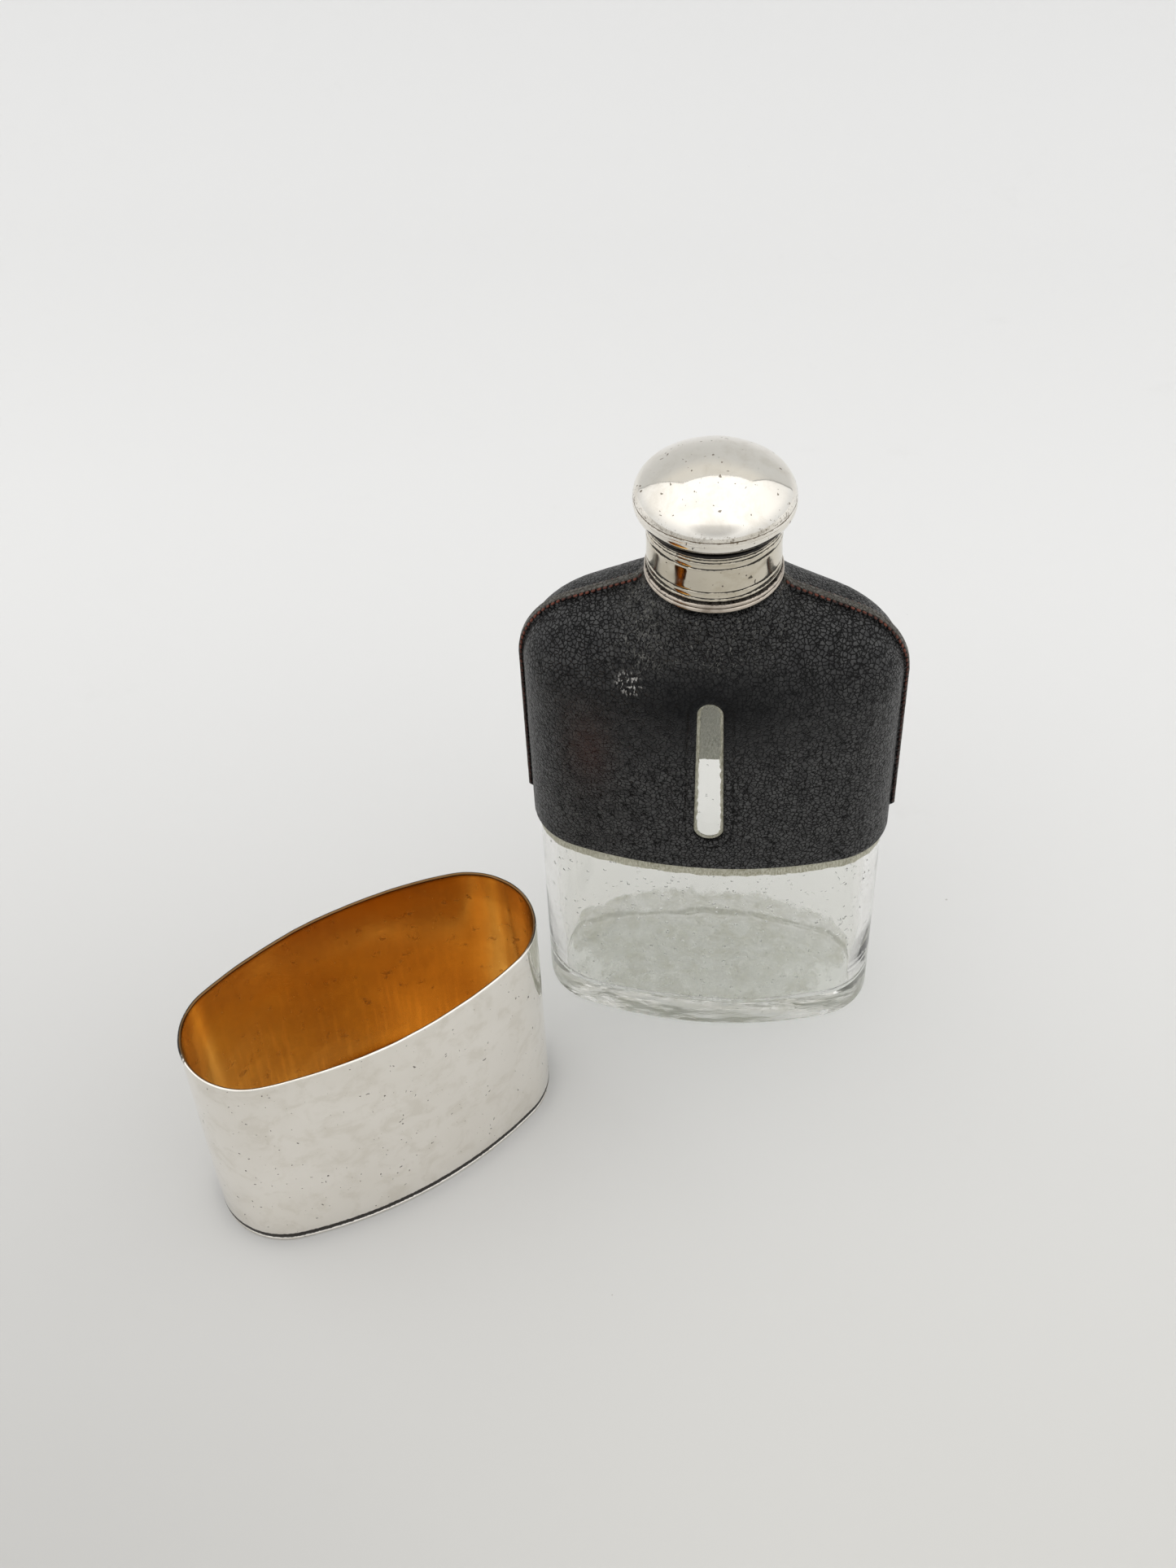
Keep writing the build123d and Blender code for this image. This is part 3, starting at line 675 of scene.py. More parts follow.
def collar_ring(material):
    """Doubled bead round the foot of the neck, standing on the leather."""
    top, foot = COLLAR_HIGH[2], COLLAR_LOW[2]
    outer = COLLAR_HIGH[0]
    low_bead, high_bead = (COLLAR_GROOVE_Z - COLLAR_BEAD_Z) / 2, (top - COLLAR_GROOVE_Z) / 2
    profile = [(COLLAR_BORE, foot), (COLLAR_FOOT_RADIUS, foot), (COLLAR_FOOT_RADIUS, COLLAR_BEAD_Z - 0.1)]
    profile += [(12.3, COLLAR_BEAD_Z), (12.8, COLLAR_BEAD_Z)]
    profile += arc((outer - low_bead, COLLAR_BEAD_Z + low_bead), low_bead, 270, 435, 16)
    profile += [(outer - 0.42, COLLAR_GROOVE_Z)]
    profile += arc((outer - 0.08 - high_bead, top - high_bead), high_bead, -60, 90, 14)
    profile += [(12.6, top), (11.8, top), (COLLAR_BORE, top)]
    obj = lathe("neck_collar", profile, [material], columns=256, wobble=0.02)
    # dark bands: painted shade in the groove between the beads, painted shadow lines under the lower bead and
    # at the top edge under the skirt
    add_grime_and_shade(obj, [(COLLAR_GROOVE_Z, 0.10, 1.0), (COLLAR_BEAD_Z, 0.22, 0.9), (top, 0.12, 0.6)])
    return place(obj, "flask", ["collar_ring"])


def cap_skirt(material):
    """Outer skirt with its turned lines and softly rolled lower edge."""
    radius, low, high = SKIRT_HIGH[0], SKIRT_LOW[2], SKIRT_HIGH[2]
    bore = radius - 0.9
    profile = [(bore, low + 0.2)] + arc((bore + 0.15, low + 0.15), 0.15, 180, 270, 4)
    profile += arc((radius - 0.3, low + 0.3), 0.3, 270, 360, 6)
    for z in SKIRT_LINES_Z[:2]:
        profile += groove(radius, z)
    first, last = SKIRT_LINES_Z[1] + 0.5, SKIRT_LINES_Z[2] - 0.5
    middle = np.linspace(first, last, 14)
    profile += [(radius - 0.05 * math.sin(math.pi * (z - first) / (last - first)), z) for z in middle]
    for z in SKIRT_LINES_Z[2:]:
        profile += groove(radius, z)
    profile += arc((radius - 0.2, high - 0.2), 0.2, 0, 90, 5) + [(bore, high)]
    profile += [(bore, z) for z in np.linspace(high - 1.5, low + 1.5, 7)]
    obj = lathe("cap_band", profile, [material], columns=256, wobble=0.03)
    # dark in the turned lines; painted shadow line along the lower edge above the collar ring and painted
    # shade along the top edge under the moulding's bead
    add_grime_and_shade(obj, [(z, 0.15, 1.3) for z in SKIRT_LINES_Z] + [(low, 0.3, 1.1), (high, 0.16, 1.4)])
    return place(obj, "cap", ["cap_skirt"])


def cap_cove(material):
    """Moulding between skirt and dome: small bead, hollow and thick rounded lip."""
    low, high = COVE_LOW[2], COVE_HIGH[2]
    bead = (THROAT[1] - low) / 2
    rim = DOME_HIGH[0]
    bore = THROAT[0] - 1.05
    profile = arc((THROAT[0] + 0.5 - bead, low + bead), bead, 270, 450, 12)
    profile += arc_between(THROAT, LIP, COVE_HOLLOW_RADIUS, 20, -1)
    profile += arc_between(LIP, (rim, high - 0.02), LIP_RADIUS, 20, 1)[1:]
    profile += [(rim - 0.02, high), (14.2, high), (13.0, high), (bore, high)]
    profile += [(bore, 138.6), (bore, 137), (bore, low), (bore + 0.6, low)]
    obj = lathe("cap_moulding", profile, [material], columns=256, wobble=0.02)
    # wide dark band through the hollow and a narrow one under the lip: painted dark reflection of the leather
    # and of the lip's shade
    add_grime_and_shade(obj, [(THROAT[1], 1.1, 3.0), (LIP[1] - 0.7, 0.35, 2.0)])
    return place(obj, "cap", ["cap_cove"])


def dome_profile(inset):
    """Points of the dome from its rim to the crown, inset by the sheet's thickness."""
    radius, edge_radius = DOME_HIGH[0] - inset, DOME_EDGE_RADIUS - inset
    rise = DOME_HIGH[2] - DOME_EDGE_Z - inset
    crown = (radius**2 - 2 * radius * edge_radius + rise**2) / (2 * (rise - edge_radius))
    angle = math.degrees(math.atan2(crown - rise, radius - edge_radius))
    points = arc((radius - edge_radius, DOME_EDGE_Z), edge_radius, 0, 14, 26)
    points += arc((radius - edge_radius, DOME_EDGE_Z), edge_radius, 15, angle, 24)
    return points + arc((0, DOME_EDGE_Z + rise - crown), crown, angle, 89.4, 44)[1:]


def cap_dome(material):
    """Dome spun from sheet, with the faint dents of long use."""
    columns = 288
    low = DOME_LOW[2]
    rim = DOME_HIGH[0]
    foot = [(rim, low + 0.02), (rim - 0.02, low), (rim - DOME_SHEET, low)]
    profile = np.array(dome_profile(0)[::-1] + foot)
    profile = np.concatenate([profile, dome_profile(DOME_SHEET)])
    line = np.exp(-(((profile[:, 1] - DOME_LINE_Z) / 0.10) ** 2))
    profile[:, 0] -= 0.10 * line * (profile[:, 0] > rim - 0.5)
    turn = np.arange(columns) * TAU / columns
    radius, z = profile[:, :1], profile[:, 1:]
    ring = np.stack([radius * np.cos(turn), radius * np.sin(turn), z + 0 * turn], -1)
    dents = noise_at(ring, 7.5, 3.3) * 0.035 + noise_at(ring, 17, 1.1) * 0.06
    high = smooth_step(ring[..., 2], DOME_LINE_Z, DOME_LINE_Z + 2)
    ring[..., 2] += dents * high
    tops = [[0, 0, DOME_HIGH[2]], [0, 0, DOME_HIGH[2] - DOME_SHEET]]
    points = np.vstack([ring.reshape(-1, 3), tops])
    faces = grid_quads(len(profile), columns).tolist()
    faces += fan(0, columns, len(points) - 2) + fan((len(profile) - 1) * columns, columns, len(points) - 1)
    obj = make_object("cap_top", points, faces, [material])
    add_grime_and_shade(obj, [(DOME_LINE_Z, 0.10, 1.0), (DOME_LINE_Z + 0.5, 0.9, 0.30), (DOME_LINE_Z + 1.5, 1.8, 0.10)])
    return place(obj, "cap", ["cap_dome"])


# ---------------------------------------------------------------- cup


def to_cup(points):
    """Move points from the cup's own frame to where the cup stands."""
    turn = np.array([[math.cos(CUP_TURN), math.sin(CUP_TURN)], [-math.sin(CUP_TURN), math.cos(CUP_TURN)]])
    placed = np.array(points, float)
    placed[..., :2] = placed[..., :2] @ turn + CUP_CENTRE
    return placed


def oval_sweep(profile, columns):
    """Rings of an oval swept by a profile of (offset, height) points."""
    return np.array([oval_ring(0, offset, z, columns) for offset, z in profile])


def cup_wall(plate, gilt):
    """Hand-raised wall: plated outside, gilt inside, its rim worn round."""
    columns = 360
    low, high = WALL_LOW[2], WALL_HIGH[2]
    inner = CUP_OFFSET - CUP_WALL
    rim_round = CUP_WALL / 2
    centre = CUP_OFFSET - rim_round
    outside = [(CUP_OFFSET - 0.42, low), (CUP_OFFSET - 0.20, low + 0.08)]
    outside += [(CUP_OFFSET - 0.05, low + 0.25), (CUP_OFFSET, low + 0.5)]
    outside += [(CUP_OFFSET, z) for z in np.linspace(low + 1, high - 0.6, 70)]
    rim = arc((centre, high - rim_round), rim_round, 10, 170, 9)
    inside = [(inner, z) for z in np.linspace(high - 0.6, low + 1, 70)] + [(inner, low + 0.3), (inner, low)]
    rings = oval_sweep(outside + rim + inside, columns)
    centre_line = rings * [1, 1, 0]
    radial = centre_line / np.linalg.norm(centre_line, axis=-1, keepdims=True)
    height = smooth_step(rings[..., 2], low, low + 14)
    wave = noise_at(rings * [1, 1, 0.6], 21, 5.5) * 0.22 * height + noise_at(rings, 6, 7.1) * 0.03
    near_rim = smooth_step(rings[..., 2], high - 2.5, high)
    wave += near_rim * noise_at(rings * [1, 1, 0], 3.2, 2.0) * 0.05
    rings += radial * wave[..., None]
    rings[..., 2] += near_rim * noise_at(centre_line, 4.5, 9.0) * 0.07
    faces = grid_quads(len(rings), columns, wrap_rows=True)
    obj = make_object("cup_body", to_cup(rings), faces, [plate, gilt])
    inside_row = len(outside) + 4
    far_side = smooth_step(rings[..., 1], -4, 4)
    row = np.arange(len(faces)) // columns
    gilded = (row >= inside_row) & (row < len(rings) - 1)
    obj.data.polygons.foreach_set("material_index", gilded.astype(np.int32))
    add_attribute(obj, "rim", smooth_step(rings[..., 2], high - 0.9, high - 0.25))
    foot_line = 1.2 * smooth_step(rings[..., 2], low + 1.65, low + 1.2)
    # darker at the top of the rim on the far side and along the foot of the wall
    add_attribute(obj, "grime_and_painted_shade", np.maximum(0.7 * near_rim**5 * far_side, foot_line))
    # share of the way down from the rim, for the gilt's painted shade deeper in the cup
    add_attribute(obj, "depth", (high - rings[..., 2]) / (high - low))
    return place(obj, "cup", ["cup_wall"])


def cup_floor(plate, gilt):
    """Floor let into the wall, gilt on top, with a soft solder fillet round it."""
    columns = 240
    low, high = FLOOR_LOW[2], FLOOR_HIGH[2]
    edge = CUP_OFFSET - CUP_WALL - 0.03
    under = [(offset, low) for offset in (-14, -8, -3, edge)]
    over = [(edge, high + 0.9), (edge - 0.25, high + 0.45), (edge - 0.8, high + 0.12)]
    over += [(offset, high) for offset in np.linspace(-1.5, -15, 12)]
    rings = oval_sweep(under + over, columns)
    upper = np.arange(len(rings))[:, None] > len(under)
    rings[..., 2] += upper * noise_at(rings, 14, 3.0) * 0.12
    points = rings.reshape(-1, 3)
    faces = grid_quads(len(rings), columns).tolist()
    faces += fan(0, columns, len(points)) + fan((len(rings) - 1) * columns, columns, len(points) + 1)
    points = np.vstack([points, [0, 0, low], [0, 0, rings[-1, :, 2].mean()]])
    obj = make_object("cup_bottom", to_cup(points), faces, [plate, gilt])
    ring_of = np.append(np.arange((len(rings) - 1) * columns) // columns, np.repeat([0, len(rings)], columns))
    obj.data.polygons.foreach_set("material_index", (ring_of >= len(under)).astype(np.int32))
    return place(obj, "cup", ["cup_floor"])


def cup_foot(material):
    """Thin oval ring soldered under the cup."""
    high = FOOT_HIGH[2]
    outer, inner = CUP_FOOT_OFFSETS
    profile = [(outer - 0.30, 0), (outer - 0.10, 0.06), (outer, 0.25), (outer, 0.45), (outer - 0.10, 0.70)]
    profile += [(outer - 0.35, high - 0.12), (outer - 0.6, high), (0.4, high), (-0.6, high)]
    profile += [(inner, high), (inner, 0.5)]
    profile += [(inner, 0.1), (inner + 0.1, 0), (-0.6, 0), (0.4, 0)]
    rings = oval_sweep(profile, 300)
    obj = make_object("cup_foot", to_cup(rings), grid_quads(len(rings), 300, wrap_rows=True), [material])
    # darker along the top of the ring, under the cup's wall
    add_attribute(obj, "grime_and_painted_shade", smooth_step(rings[..., 2], 0.66, 0.86))
    return place(obj, "cup", ["cup_foot_ring"])


# ---------------------------------------------------------------- materials


def tone(red, green, blue):
    """Linear colour from everyday 0-255 values."""
    parts = np.array([red, green, blue]) / 255
    linear = np.where(parts <= 0.04045, parts / 12.92, ((parts + 0.055) / 1.055) ** 2.4)
    return (*linear.tolist(), 1.0)


class Nodes:
    """A node tree, with the few building blocks that the materials and the light share."""

    def __init__(self, tree):
        self.tree = tree

    def node(self, kind, **settings):
        made = self.tree.nodes.new(kind)
        for key, value in settings.items():
            setattr(made, key, value)
        return made

    def put(self, socket, value):
        """Link a node's output to a socket, or set the socket's own value."""
        if isinstance(value, bpy.types.NodeSocket):
            self.tree.links.new(value, socket)
        else:
            socket.default_value = value

    def fill(self, node, values, output=0):
        """Give a node's first inputs their values and return one of its outputs."""
        for socket, value in zip(node.inputs, values):
            self.put(socket, value)
        return node.outputs[output]

    def math(self, operation, *values):
        return self.fill(self.node("ShaderNodeMath", operation=operation), values)

    def times(self, a, b):
        return self.math("MULTIPLY", a, b)

    def plus(self, a, b):
        return self.math("ADD", a, b)

    def minus(self, a, b):
        return self.math("SUBTRACT", a, b)

    def rest(self, a):
        """What is left of 1."""
        return self.math("SUBTRACT", 1.0, a)

    def scaled(self, a, factor, added):
        return self.math("MULTIPLY_ADD", a, factor, added)

    def larger(self, a, b):
        return self.math("MAXIMUM", a, b)

    def below(self, a, b):
        return self.math("LESS_THAN", a, b)

    def ramp(self, value, low, high, to_low=0.0, to_high=1.0):
        """Eased ramp of a value between two levels."""
        made = self.node("ShaderNodeMapRange", interpolation_type="SMOOTHSTEP")
        return self.fill(made, (value, low, high, to_low, to_high))

    def mix(self, share, a, b):
        """Blend of two colours."""
        made = self.node("ShaderNodeMix", data_type="RGBA")
        for index, value in ((0, share), (6, a), (7, b)):
            self.put(made.inputs[index], value)
        return made.outputs[2]

    def blend(self, share, a, b):
        """Blend of two surfaces."""
        return self.fill(self.node("ShaderNodeMixShader"), (share, a, b))


class Shader(Nodes):
    """A material's nodes, with patterns measured in millimetres and a colour built up in coats."""

    def __init__(self, name):
        self.material = bpy.data.materials.new(name)
        self.material.use_nodes = True
        super().__init__(self.material.node_tree)
        self.surface = self.tree.nodes["Principled BSDF"]
        self.place = self.math_vector(self.node("ShaderNodeTexCoord").outputs["Object"], 1 / MM)
        self.base = None

    def set(self, **inputs):
        """Set inputs of the surface, named with underscores for spaces."""
        for name, value in inputs.items():
            self.put(self.surface.inputs[name.replace("_", " ")], value)

    def paint(self, share, red, green, blue):
        """Lay a colour over the base colour where share is high."""
        self.base = self.mix(share, self.base, tone(red, green, blue))

    def math_vector(self, vector, scale):
        """Vector scaled by one number or by three."""
        made = self.node("ShaderNodeVectorMath", operation="MULTIPLY")
        return self.fill(made, (vector, scale if isinstance(scale, tuple) else (scale,) * 3))

    def axis(self, name):
        """One coordinate of the piece in millimetres."""
        made = self.node("ShaderNodeSeparateXYZ")
        return self.fill(made, (self.place,), name)

    def attribute(self, name):
        return self.node("ShaderNodeAttribute", attribute_name=name).outputs["Fac"]

    def noise(self, size, detail=3.0, rough=0.55, stretch=(1, 1, 1), warp=0.0, seed=0.0):
        """Noise from 0 to 1 with features of the given size in millimetres."""
        made = self.node("ShaderNodeTexNoise", noise_dimensions="4D")
        self.put(made.inputs["Vector"], self.math_vector(self.place, tuple(s / size for s in stretch)))
        named = {"Scale": 1.0, "Detail": detail, "Roughness": rough, "Distortion": warp, "W": seed}
        for name, value in named.items():
            made.inputs[name].default_value = value
        return made.outputs["Fac"]

    def cells(self, size, feature="F1", warp=0.25, stretch=(1, 1, 1)):
        """Cell pattern, warped so that no cell is regular."""
        push = self.node("ShaderNodeTexNoise")
        base = self.math_vector(self.place, tuple(s / size for s in stretch))
        self.put(push.inputs["Vector"], base)
        push.inputs["Scale"].default_value = 0.9
        moved = self.node("ShaderNodeVectorMath", operation="MULTIPLY_ADD")
        moved = self.fill(moved, (push.outputs["Color"], (warp * 3,) * 3, base))
        made = self.node("ShaderNodeTexVoronoi", feature=feature)
        self.put(made.inputs["Vector"], moved)
        made.inputs["Scale"].default_value = 1.0
        return made.outputs["Distance"]

    def bump(self, height, depth_mm, under=None):
        """Surface relief from a height of 0 to 1, of the given depth."""
        made = self.node("ShaderNodeBump")
        made.inputs["Distance"].default_value = depth_mm * MM
        self.put(made.inputs["Height"], height)
        if under is not None:
            self.put(made.inputs["Normal"], under)
        return made.outputs[0]


def leather_material():
    """Black grained goatskin: pebbled, worn smooth on the flat, creased near the neck, with painted
    highlights on the pebbles' crests, along the creases and in a patch of glints, and painted shade in the
    creases.
    """
    s = Shader("black_leather")
    grain, neck, painted_glint_patch = s.attribute("grain"), s.attribute("neck"), s.attribute("painted_glint_patch")
    red, rim, drawn = s.attribute("red"), s.attribute("rim"), s.attribute("drawn")
    pebble = s.cells(0.90, "DISTANCE_TO_EDGE", warp=0.28)
    crest = s.ramp(pebble, 0.0, 0.18)
    net = s.ramp(s.cells(1.0, "DISTANCE_TO_EDGE", warp=0.40), 0.005, 0.055)
    pulled = s.ramp(s.cells(1.15, "DISTANCE_TO_EDGE", warp=0.5, stretch=(1.5, 1, 0.36)), 0.01, 0.10)
    fine = s.noise(0.30, 4, 0.65)
    patches = s.noise(7, 4, 0.6)
    height = s.scaled(fine, 0.15, crest)
    bump = s.bump(s.times(height, grain), 0.24)
    bump = s.bump(s.times(net, s.larger(neck, painted_glint_patch)), 0.10, bump)
    bump = s.bump(s.times(pulled, drawn), 0.15, bump)
    worn = s.mix(s.ramp(patches, 0.35, 0.7), tone(4, 5, 7), tone(11, 12, 15))
    # the pebbles' crests are painted light and their creases near-black: painted highlight and painted shade
    # on the grain
    light = s.mix(s.ramp(s.noise(2.3, 3, 0.6, seed=2), 0.35, 0.65), tone(36, 36, 37), tone(66, 66, 66))
    pebbled = s.mix(crest, tone(2, 2, 2), light)
    s.base = s.mix(grain, worn, pebbled)
    # light lines along the creases near the neck and the pulled lines at its left: painted highlights
    thin = s.ramp(s.noise(2.6, 3, 0.6), 0.34, 0.62, 0.05, 1.0)
    lines = s.times(s.rest(net), neck)
    lines = s.larger(lines, s.times(s.rest(pulled), s.times(drawn, 1.2)))
    s.paint(s.times(lines, thin), 112, 111, 107)
    # a patch of bright painted glints left of the neck: painted highlights
    glint = s.times(painted_glint_patch, s.ramp(s.noise(0.70, 2, stretch=(1.3, 1, 0.6)), 0.55, 0.62))
    s.paint(glint, 190, 188, 184)
    s.paint(s.times(red, s.ramp(fine, 0.35, 0.7, 0.2, 0.8)), 58, 30, 24)
    s.paint(s.times(rim, 0.8), 10, 9, 8)
    s.paint(s.times(s.attribute("edge"), 0.55), 112, 108, 100)
    rough = s.scaled(s.noise(5, 3), 0.20, 0.30)
    out_of_creases = s.rest(s.times(s.times(grain, 0.8), s.rest(crest)))
    gleam = s.times(s.scaled(grain, 0.32, 0.09), out_of_creases)
    s.set(Base_Color=s.base, Roughness=rough, Specular_IOR_Level=gleam, Normal=bump)
    return s.material


def lining_material():
    """Grey-buff felted cloth: short fibres, glue stains."""
    s = Shader("lining_cloth")
    fibres = s.noise(0.35, 4, 0.75, stretch=(1, 1, 0.35))
    weave = s.noise(0.16, 2, 0.8, stretch=(0.3, 1, 1), seed=3)
    stain = s.noise(4.5, 3, 0.6, seed=1)
    s.base = s.mix(s.ramp(stain, 0.3, 0.7), tone(172, 169, 148), tone(142, 138, 116))
    s.paint(s.ramp(fibres, 0.40, 0.62), 202, 200, 184)
    s.paint(s.ramp(weave, 0.62, 0.75, 0, 0.6), 82, 76, 62)
    bump = s.bump(s.plus(fibres, weave), 0.12)
    s.set(Base_Color=s.base, Roughness=0.95, Specular_IOR_Level=0.15, Normal=bump)
    s.set(Sheen_Weight=0.3, Sheen_Roughness=0.5)
    return s.material


def thread_material():
    """Waxed red-brown linen thread, darker in worn patches and darker towards the bottom."""
    s = Shader("waxed_thread")
    twist = s.node("ShaderNodeTexWave", bands_direction="DIAGONAL")
    s.put(twist.inputs["Vector"], s.place)
    twist.inputs["Scale"].default_value = 2.2
    twist.inputs["Distortion"].default_value = 1.0
    wear = s.noise(3.2, 2)
    s.base = s.mix(s.ramp(wear, 0.40, 0.66), tone(132, 70, 52), tone(66, 42, 36))
    # darker towards the bottom of the seam
    s.paint(s.ramp(s.axis("Z"), 106, 84, 0, 0.75), 36, 28, 26)
    s.paint(s.times(twist.outputs["Fac"], 0.4), 34, 20, 16)
    s.set(Base_Color=s.base, Roughness=0.6, Normal=s.bump(twist.outputs["Fac"], 0.05))
    return s.material


def plate_material(name, clean, tarnish, pit_dirt_and_shade_tone, amount, seed, pits=1.0):
    """Old silver plate: bright, hazed in patches, with pits, fine scratches and dark bands that are soiling
    in places, painted shade in others and painted dark reflection in the cap's hollow.
    """
    s = Shader(name)
    haze = s.ramp(s.noise(5.5, 5, 0.62, warp=0.6, seed=seed), 0.46, 0.66)
    broad = s.ramp(s.noise(16, 3, 0.5, seed=seed + 2), 0.3, 0.7)
    speck_size = s.ramp(s.noise(3, 2, seed=seed + 4), 0.42, 0.72, 0.06, 0.24)
    speck = s.below(s.cells(1.5, "F1", warp=0.5), s.times(speck_size, pits))
    lines = s.noise(0.30, 2, 0.5, stretch=(1, 0.06, 0.35), seed=seed + 6)
    lines_too = s.noise(0.34, 2, 0.5, stretch=(0.10, 1, 0.12), seed=seed + 8)
    scratch = s.larger(s.ramp(lines, 0.70, 0.78), s.ramp(lines_too, 0.70, 0.78))
    s.base = s.mix(s.times(haze, amount), clean, tarnish)
    s.base = s.mix(s.times(broad, amount * 0.5), s.base, tarnish)
    s.base = s.mix(s.times(speck, 0.75), s.base, pit_dirt_and_shade_tone)
    s.base = s.mix(s.times(scratch, 0.30), s.base, tarnish)
    # dark bands marked on the piece: soiling in some places, painted shade and painted dark reflection in
    # others
    dirt_and_painted_shade = s.scaled(s.minus(s.noise(0.7, 3, 0.7, seed=seed + 7), 0.5), 1.3, s.attribute("grime_and_painted_shade"))
    dirt_and_painted_shade = s.times(s.ramp(dirt_and_painted_shade, 0.22, 0.62), s.ramp(s.attribute("grime_and_painted_shade"), 0.02, 0.15))
    s.base = s.mix(dirt_and_painted_shade, s.base, pit_dirt_and_shade_tone)
    rough = s.scaled(haze, 0.16 * amount, 0.07)
    rough = s.scaled(scratch, 0.10, rough)
    rough = s.scaled(speck, 0.35, rough)
    rough = s.scaled(dirt_and_painted_shade, 0.35, rough)
    relief = s.scaled(s.noise(2.4, 2, seed=seed + 9), 0.6, s.times(speck, -0.6))
    s.set(Base_Color=s.base, Metallic=s.rest(s.times(dirt_and_painted_shade, 0.7)))
    s.set(Roughness=rough, Normal=s.bump(relief, 0.018), Specular_IOR_Level=0.3)
    return s.material


def gilt_material():
    """Fire-gilt cup lining: deep orange gold, cloudy, with brown spots."""
    s = Shader("gilt_inside")
    cloud = s.ramp(s.noise(13, 4, 0.6, warp=0.4, seed=2), 0.35, 0.66)
    stain = s.ramp(s.noise(3.0, 5, 0.72, seed=7), 0.57, 0.70)
    drawn = s.noise(1.2, 3, 0.6, stretch=(1, 1, 0.08), seed=5)
    speck = s.below(s.cells(2.4, "F1", warp=0.4), s.ramp(s.noise(5, 2, seed=9), 0.5, 0.8, 0.0, 0.16))
    s.base = s.mix(cloud, tone(236, 202, 134), tone(220, 182, 116))
    # the gilt is painted darker further down inside the cup: painted shade
    s.paint(s.ramp(s.attribute("depth"), 0.15, 0.8, 0, 0.55), 178, 133, 76)
    s.paint(s.ramp(drawn, 0.45, 0.7, 0, 0.3), 246, 208, 142)
    s.paint(s.times(stain, 0.55), 150, 100, 56)
    s.paint(s.times(speck, 0.8), 58, 34, 20)
    s.paint(s.times(s.attribute("rim"), 0.9), 104, 72, 46)
    rough = s.scaled(cloud, 0.08, 0.16)
    rough = s.scaled(stain, 0.2, rough)
    s.set(Base_Color=s.base, Metallic=1.0, Roughness=rough, Normal=s.bump(s.noise(2.0, 3, seed=4), 0.02))
    return s.material


def metal_material(name, light, dark, rough):
    """Plain working metal with darker patches."""
    s = Shader(name)
    patch = s.ramp(s.noise(2.6, 4, 0.6), 0.4, 0.65)
    s.base = s.mix(patch, light, dark)
    s.set(Base_Color=s.base, Metallic=1.0, Roughness=s.scaled(patch, 0.2, rough))
    s.set(Normal=s.bump(s.noise(0.5, 3), 0.01))
    return s.material


def cork_material():
    """Cork with its dark pores."""
    s = Shader("cork")
    pore = s.ramp(s.cells(1.3, "F1", warp=0.6), 0.10, 0.30)
    s.base = s.mix(s.noise(1.1, 4, 0.7), tone(150, 108, 70), tone(196, 158, 112))
    s.base = s.mix(pore, tone(70, 44, 28), s.base)
    s.set(Base_Color=s.base, Roughness=0.9, Normal=s.bump(pore, 0.2))
    return s.material


def cement_material():
    """Yellowed plaster holding the sleeve on the neck."""
    s = Shader("plaster")
    grit = s.noise(0.4, 5, 0.8)
    s.base = s.mix(grit, tone(168, 156, 132), tone(214, 206, 186))
    s.set(Base_Color=s.base, Roughness=0.95, Normal=s.bump(grit, 0.1))
    return s.material


def glass_material():
    """Clear old glass: drops clinging inside, a dried grey-green film over the floor."""
    s = Shader("clear_glass")
    film_top, film_wander, drops_top = 9.8, 9.0, 56.0
    inside, z, y = s.attribute("inside"), s.axis("Z"), s.axis("Y")
    wander = s.noise(6.5, 4, 0.65, seed=3)
    edge = s.scaled(s.minus(wander, 0.5), film_wander, film_top)
    edge = s.plus(edge, s.ramp(y, -4.0, 8.0, -3.2, 2.5))
    edge = s.plus(edge, s.ramp(s.math("ABSOLUTE", s.axis("X")), 12.0, 33.0, 0.8, -2.4))
    film = s.times(s.ramp(s.minus(edge, z), -0.6, 1.2), inside)
    cloudy = s.ramp(s.noise(3.4, 5, 0.7, warp=0.8, seed=6), 0.30, 0.72, 0.35, 0.80)
    film = s.times(film, cloudy)
    sparse = s.ramp(s.noise(2.6, 2, seed=8), 0.50, 0.57)
    drops = s.ramp(s.cells(1.5, "F1", warp=0.3), 0.10, 0.24, 1.0, 0.0)
    drops = s.times(s.times(drops, sparse), inside)
    drops = s.times(drops, s.below(z, drops_top))
    sag = s.bump(s.noise(9, 2, 0.4, stretch=(1, 1, 0.5)), 0.14)
    swirl = s.times(s.noise(3.6, 2, 0.5, stretch=(0.5, 1, 1.6)), s.ramp(z, 7.0, 3.0))
    normal = s.bump(drops, 0.20, s.bump(swirl, 0.20, sag))
    s.set(Base_Color=tone(253, 253, 251), Transmission_Weight=1.0, IOR=1.50, Roughness=0.0, Normal=normal)
    stain = s.mix(s.ramp(s.noise(5, 3, seed=2), 0.35, 0.65), tone(208, 208, 202), tone(188, 187, 173))
    stain = s.mix(s.ramp(s.noise(2.2, 5, 0.75, warp=1.0, seed=5), 0.56, 0.68), stain, tone(236, 236, 231))
    dried = s.fill(s.node("ShaderNodeBsdfDiffuse"), (stain,))
    through = s.fill(s.node("ShaderNodeBsdfTranslucent"), (stain,))
    coated = s.blend(film, s.surface.outputs[0], s.blend(0.45, dried, through))
    path = s.node("ShaderNodeLightPath")
    lets_light = s.larger(path.outputs["Is Shadow Ray"], path.outputs["Is Diffuse Ray"])
    clear = s.fill(s.node("ShaderNodeBsdfTransparent"), (tone(250, 251, 250),))
    s.put(s.tree.nodes["Material Output"].inputs["Surface"], s.blend(lets_light, coated, clear))
    return s.material


# ---------------------------------------------------------------- stage, light, camera


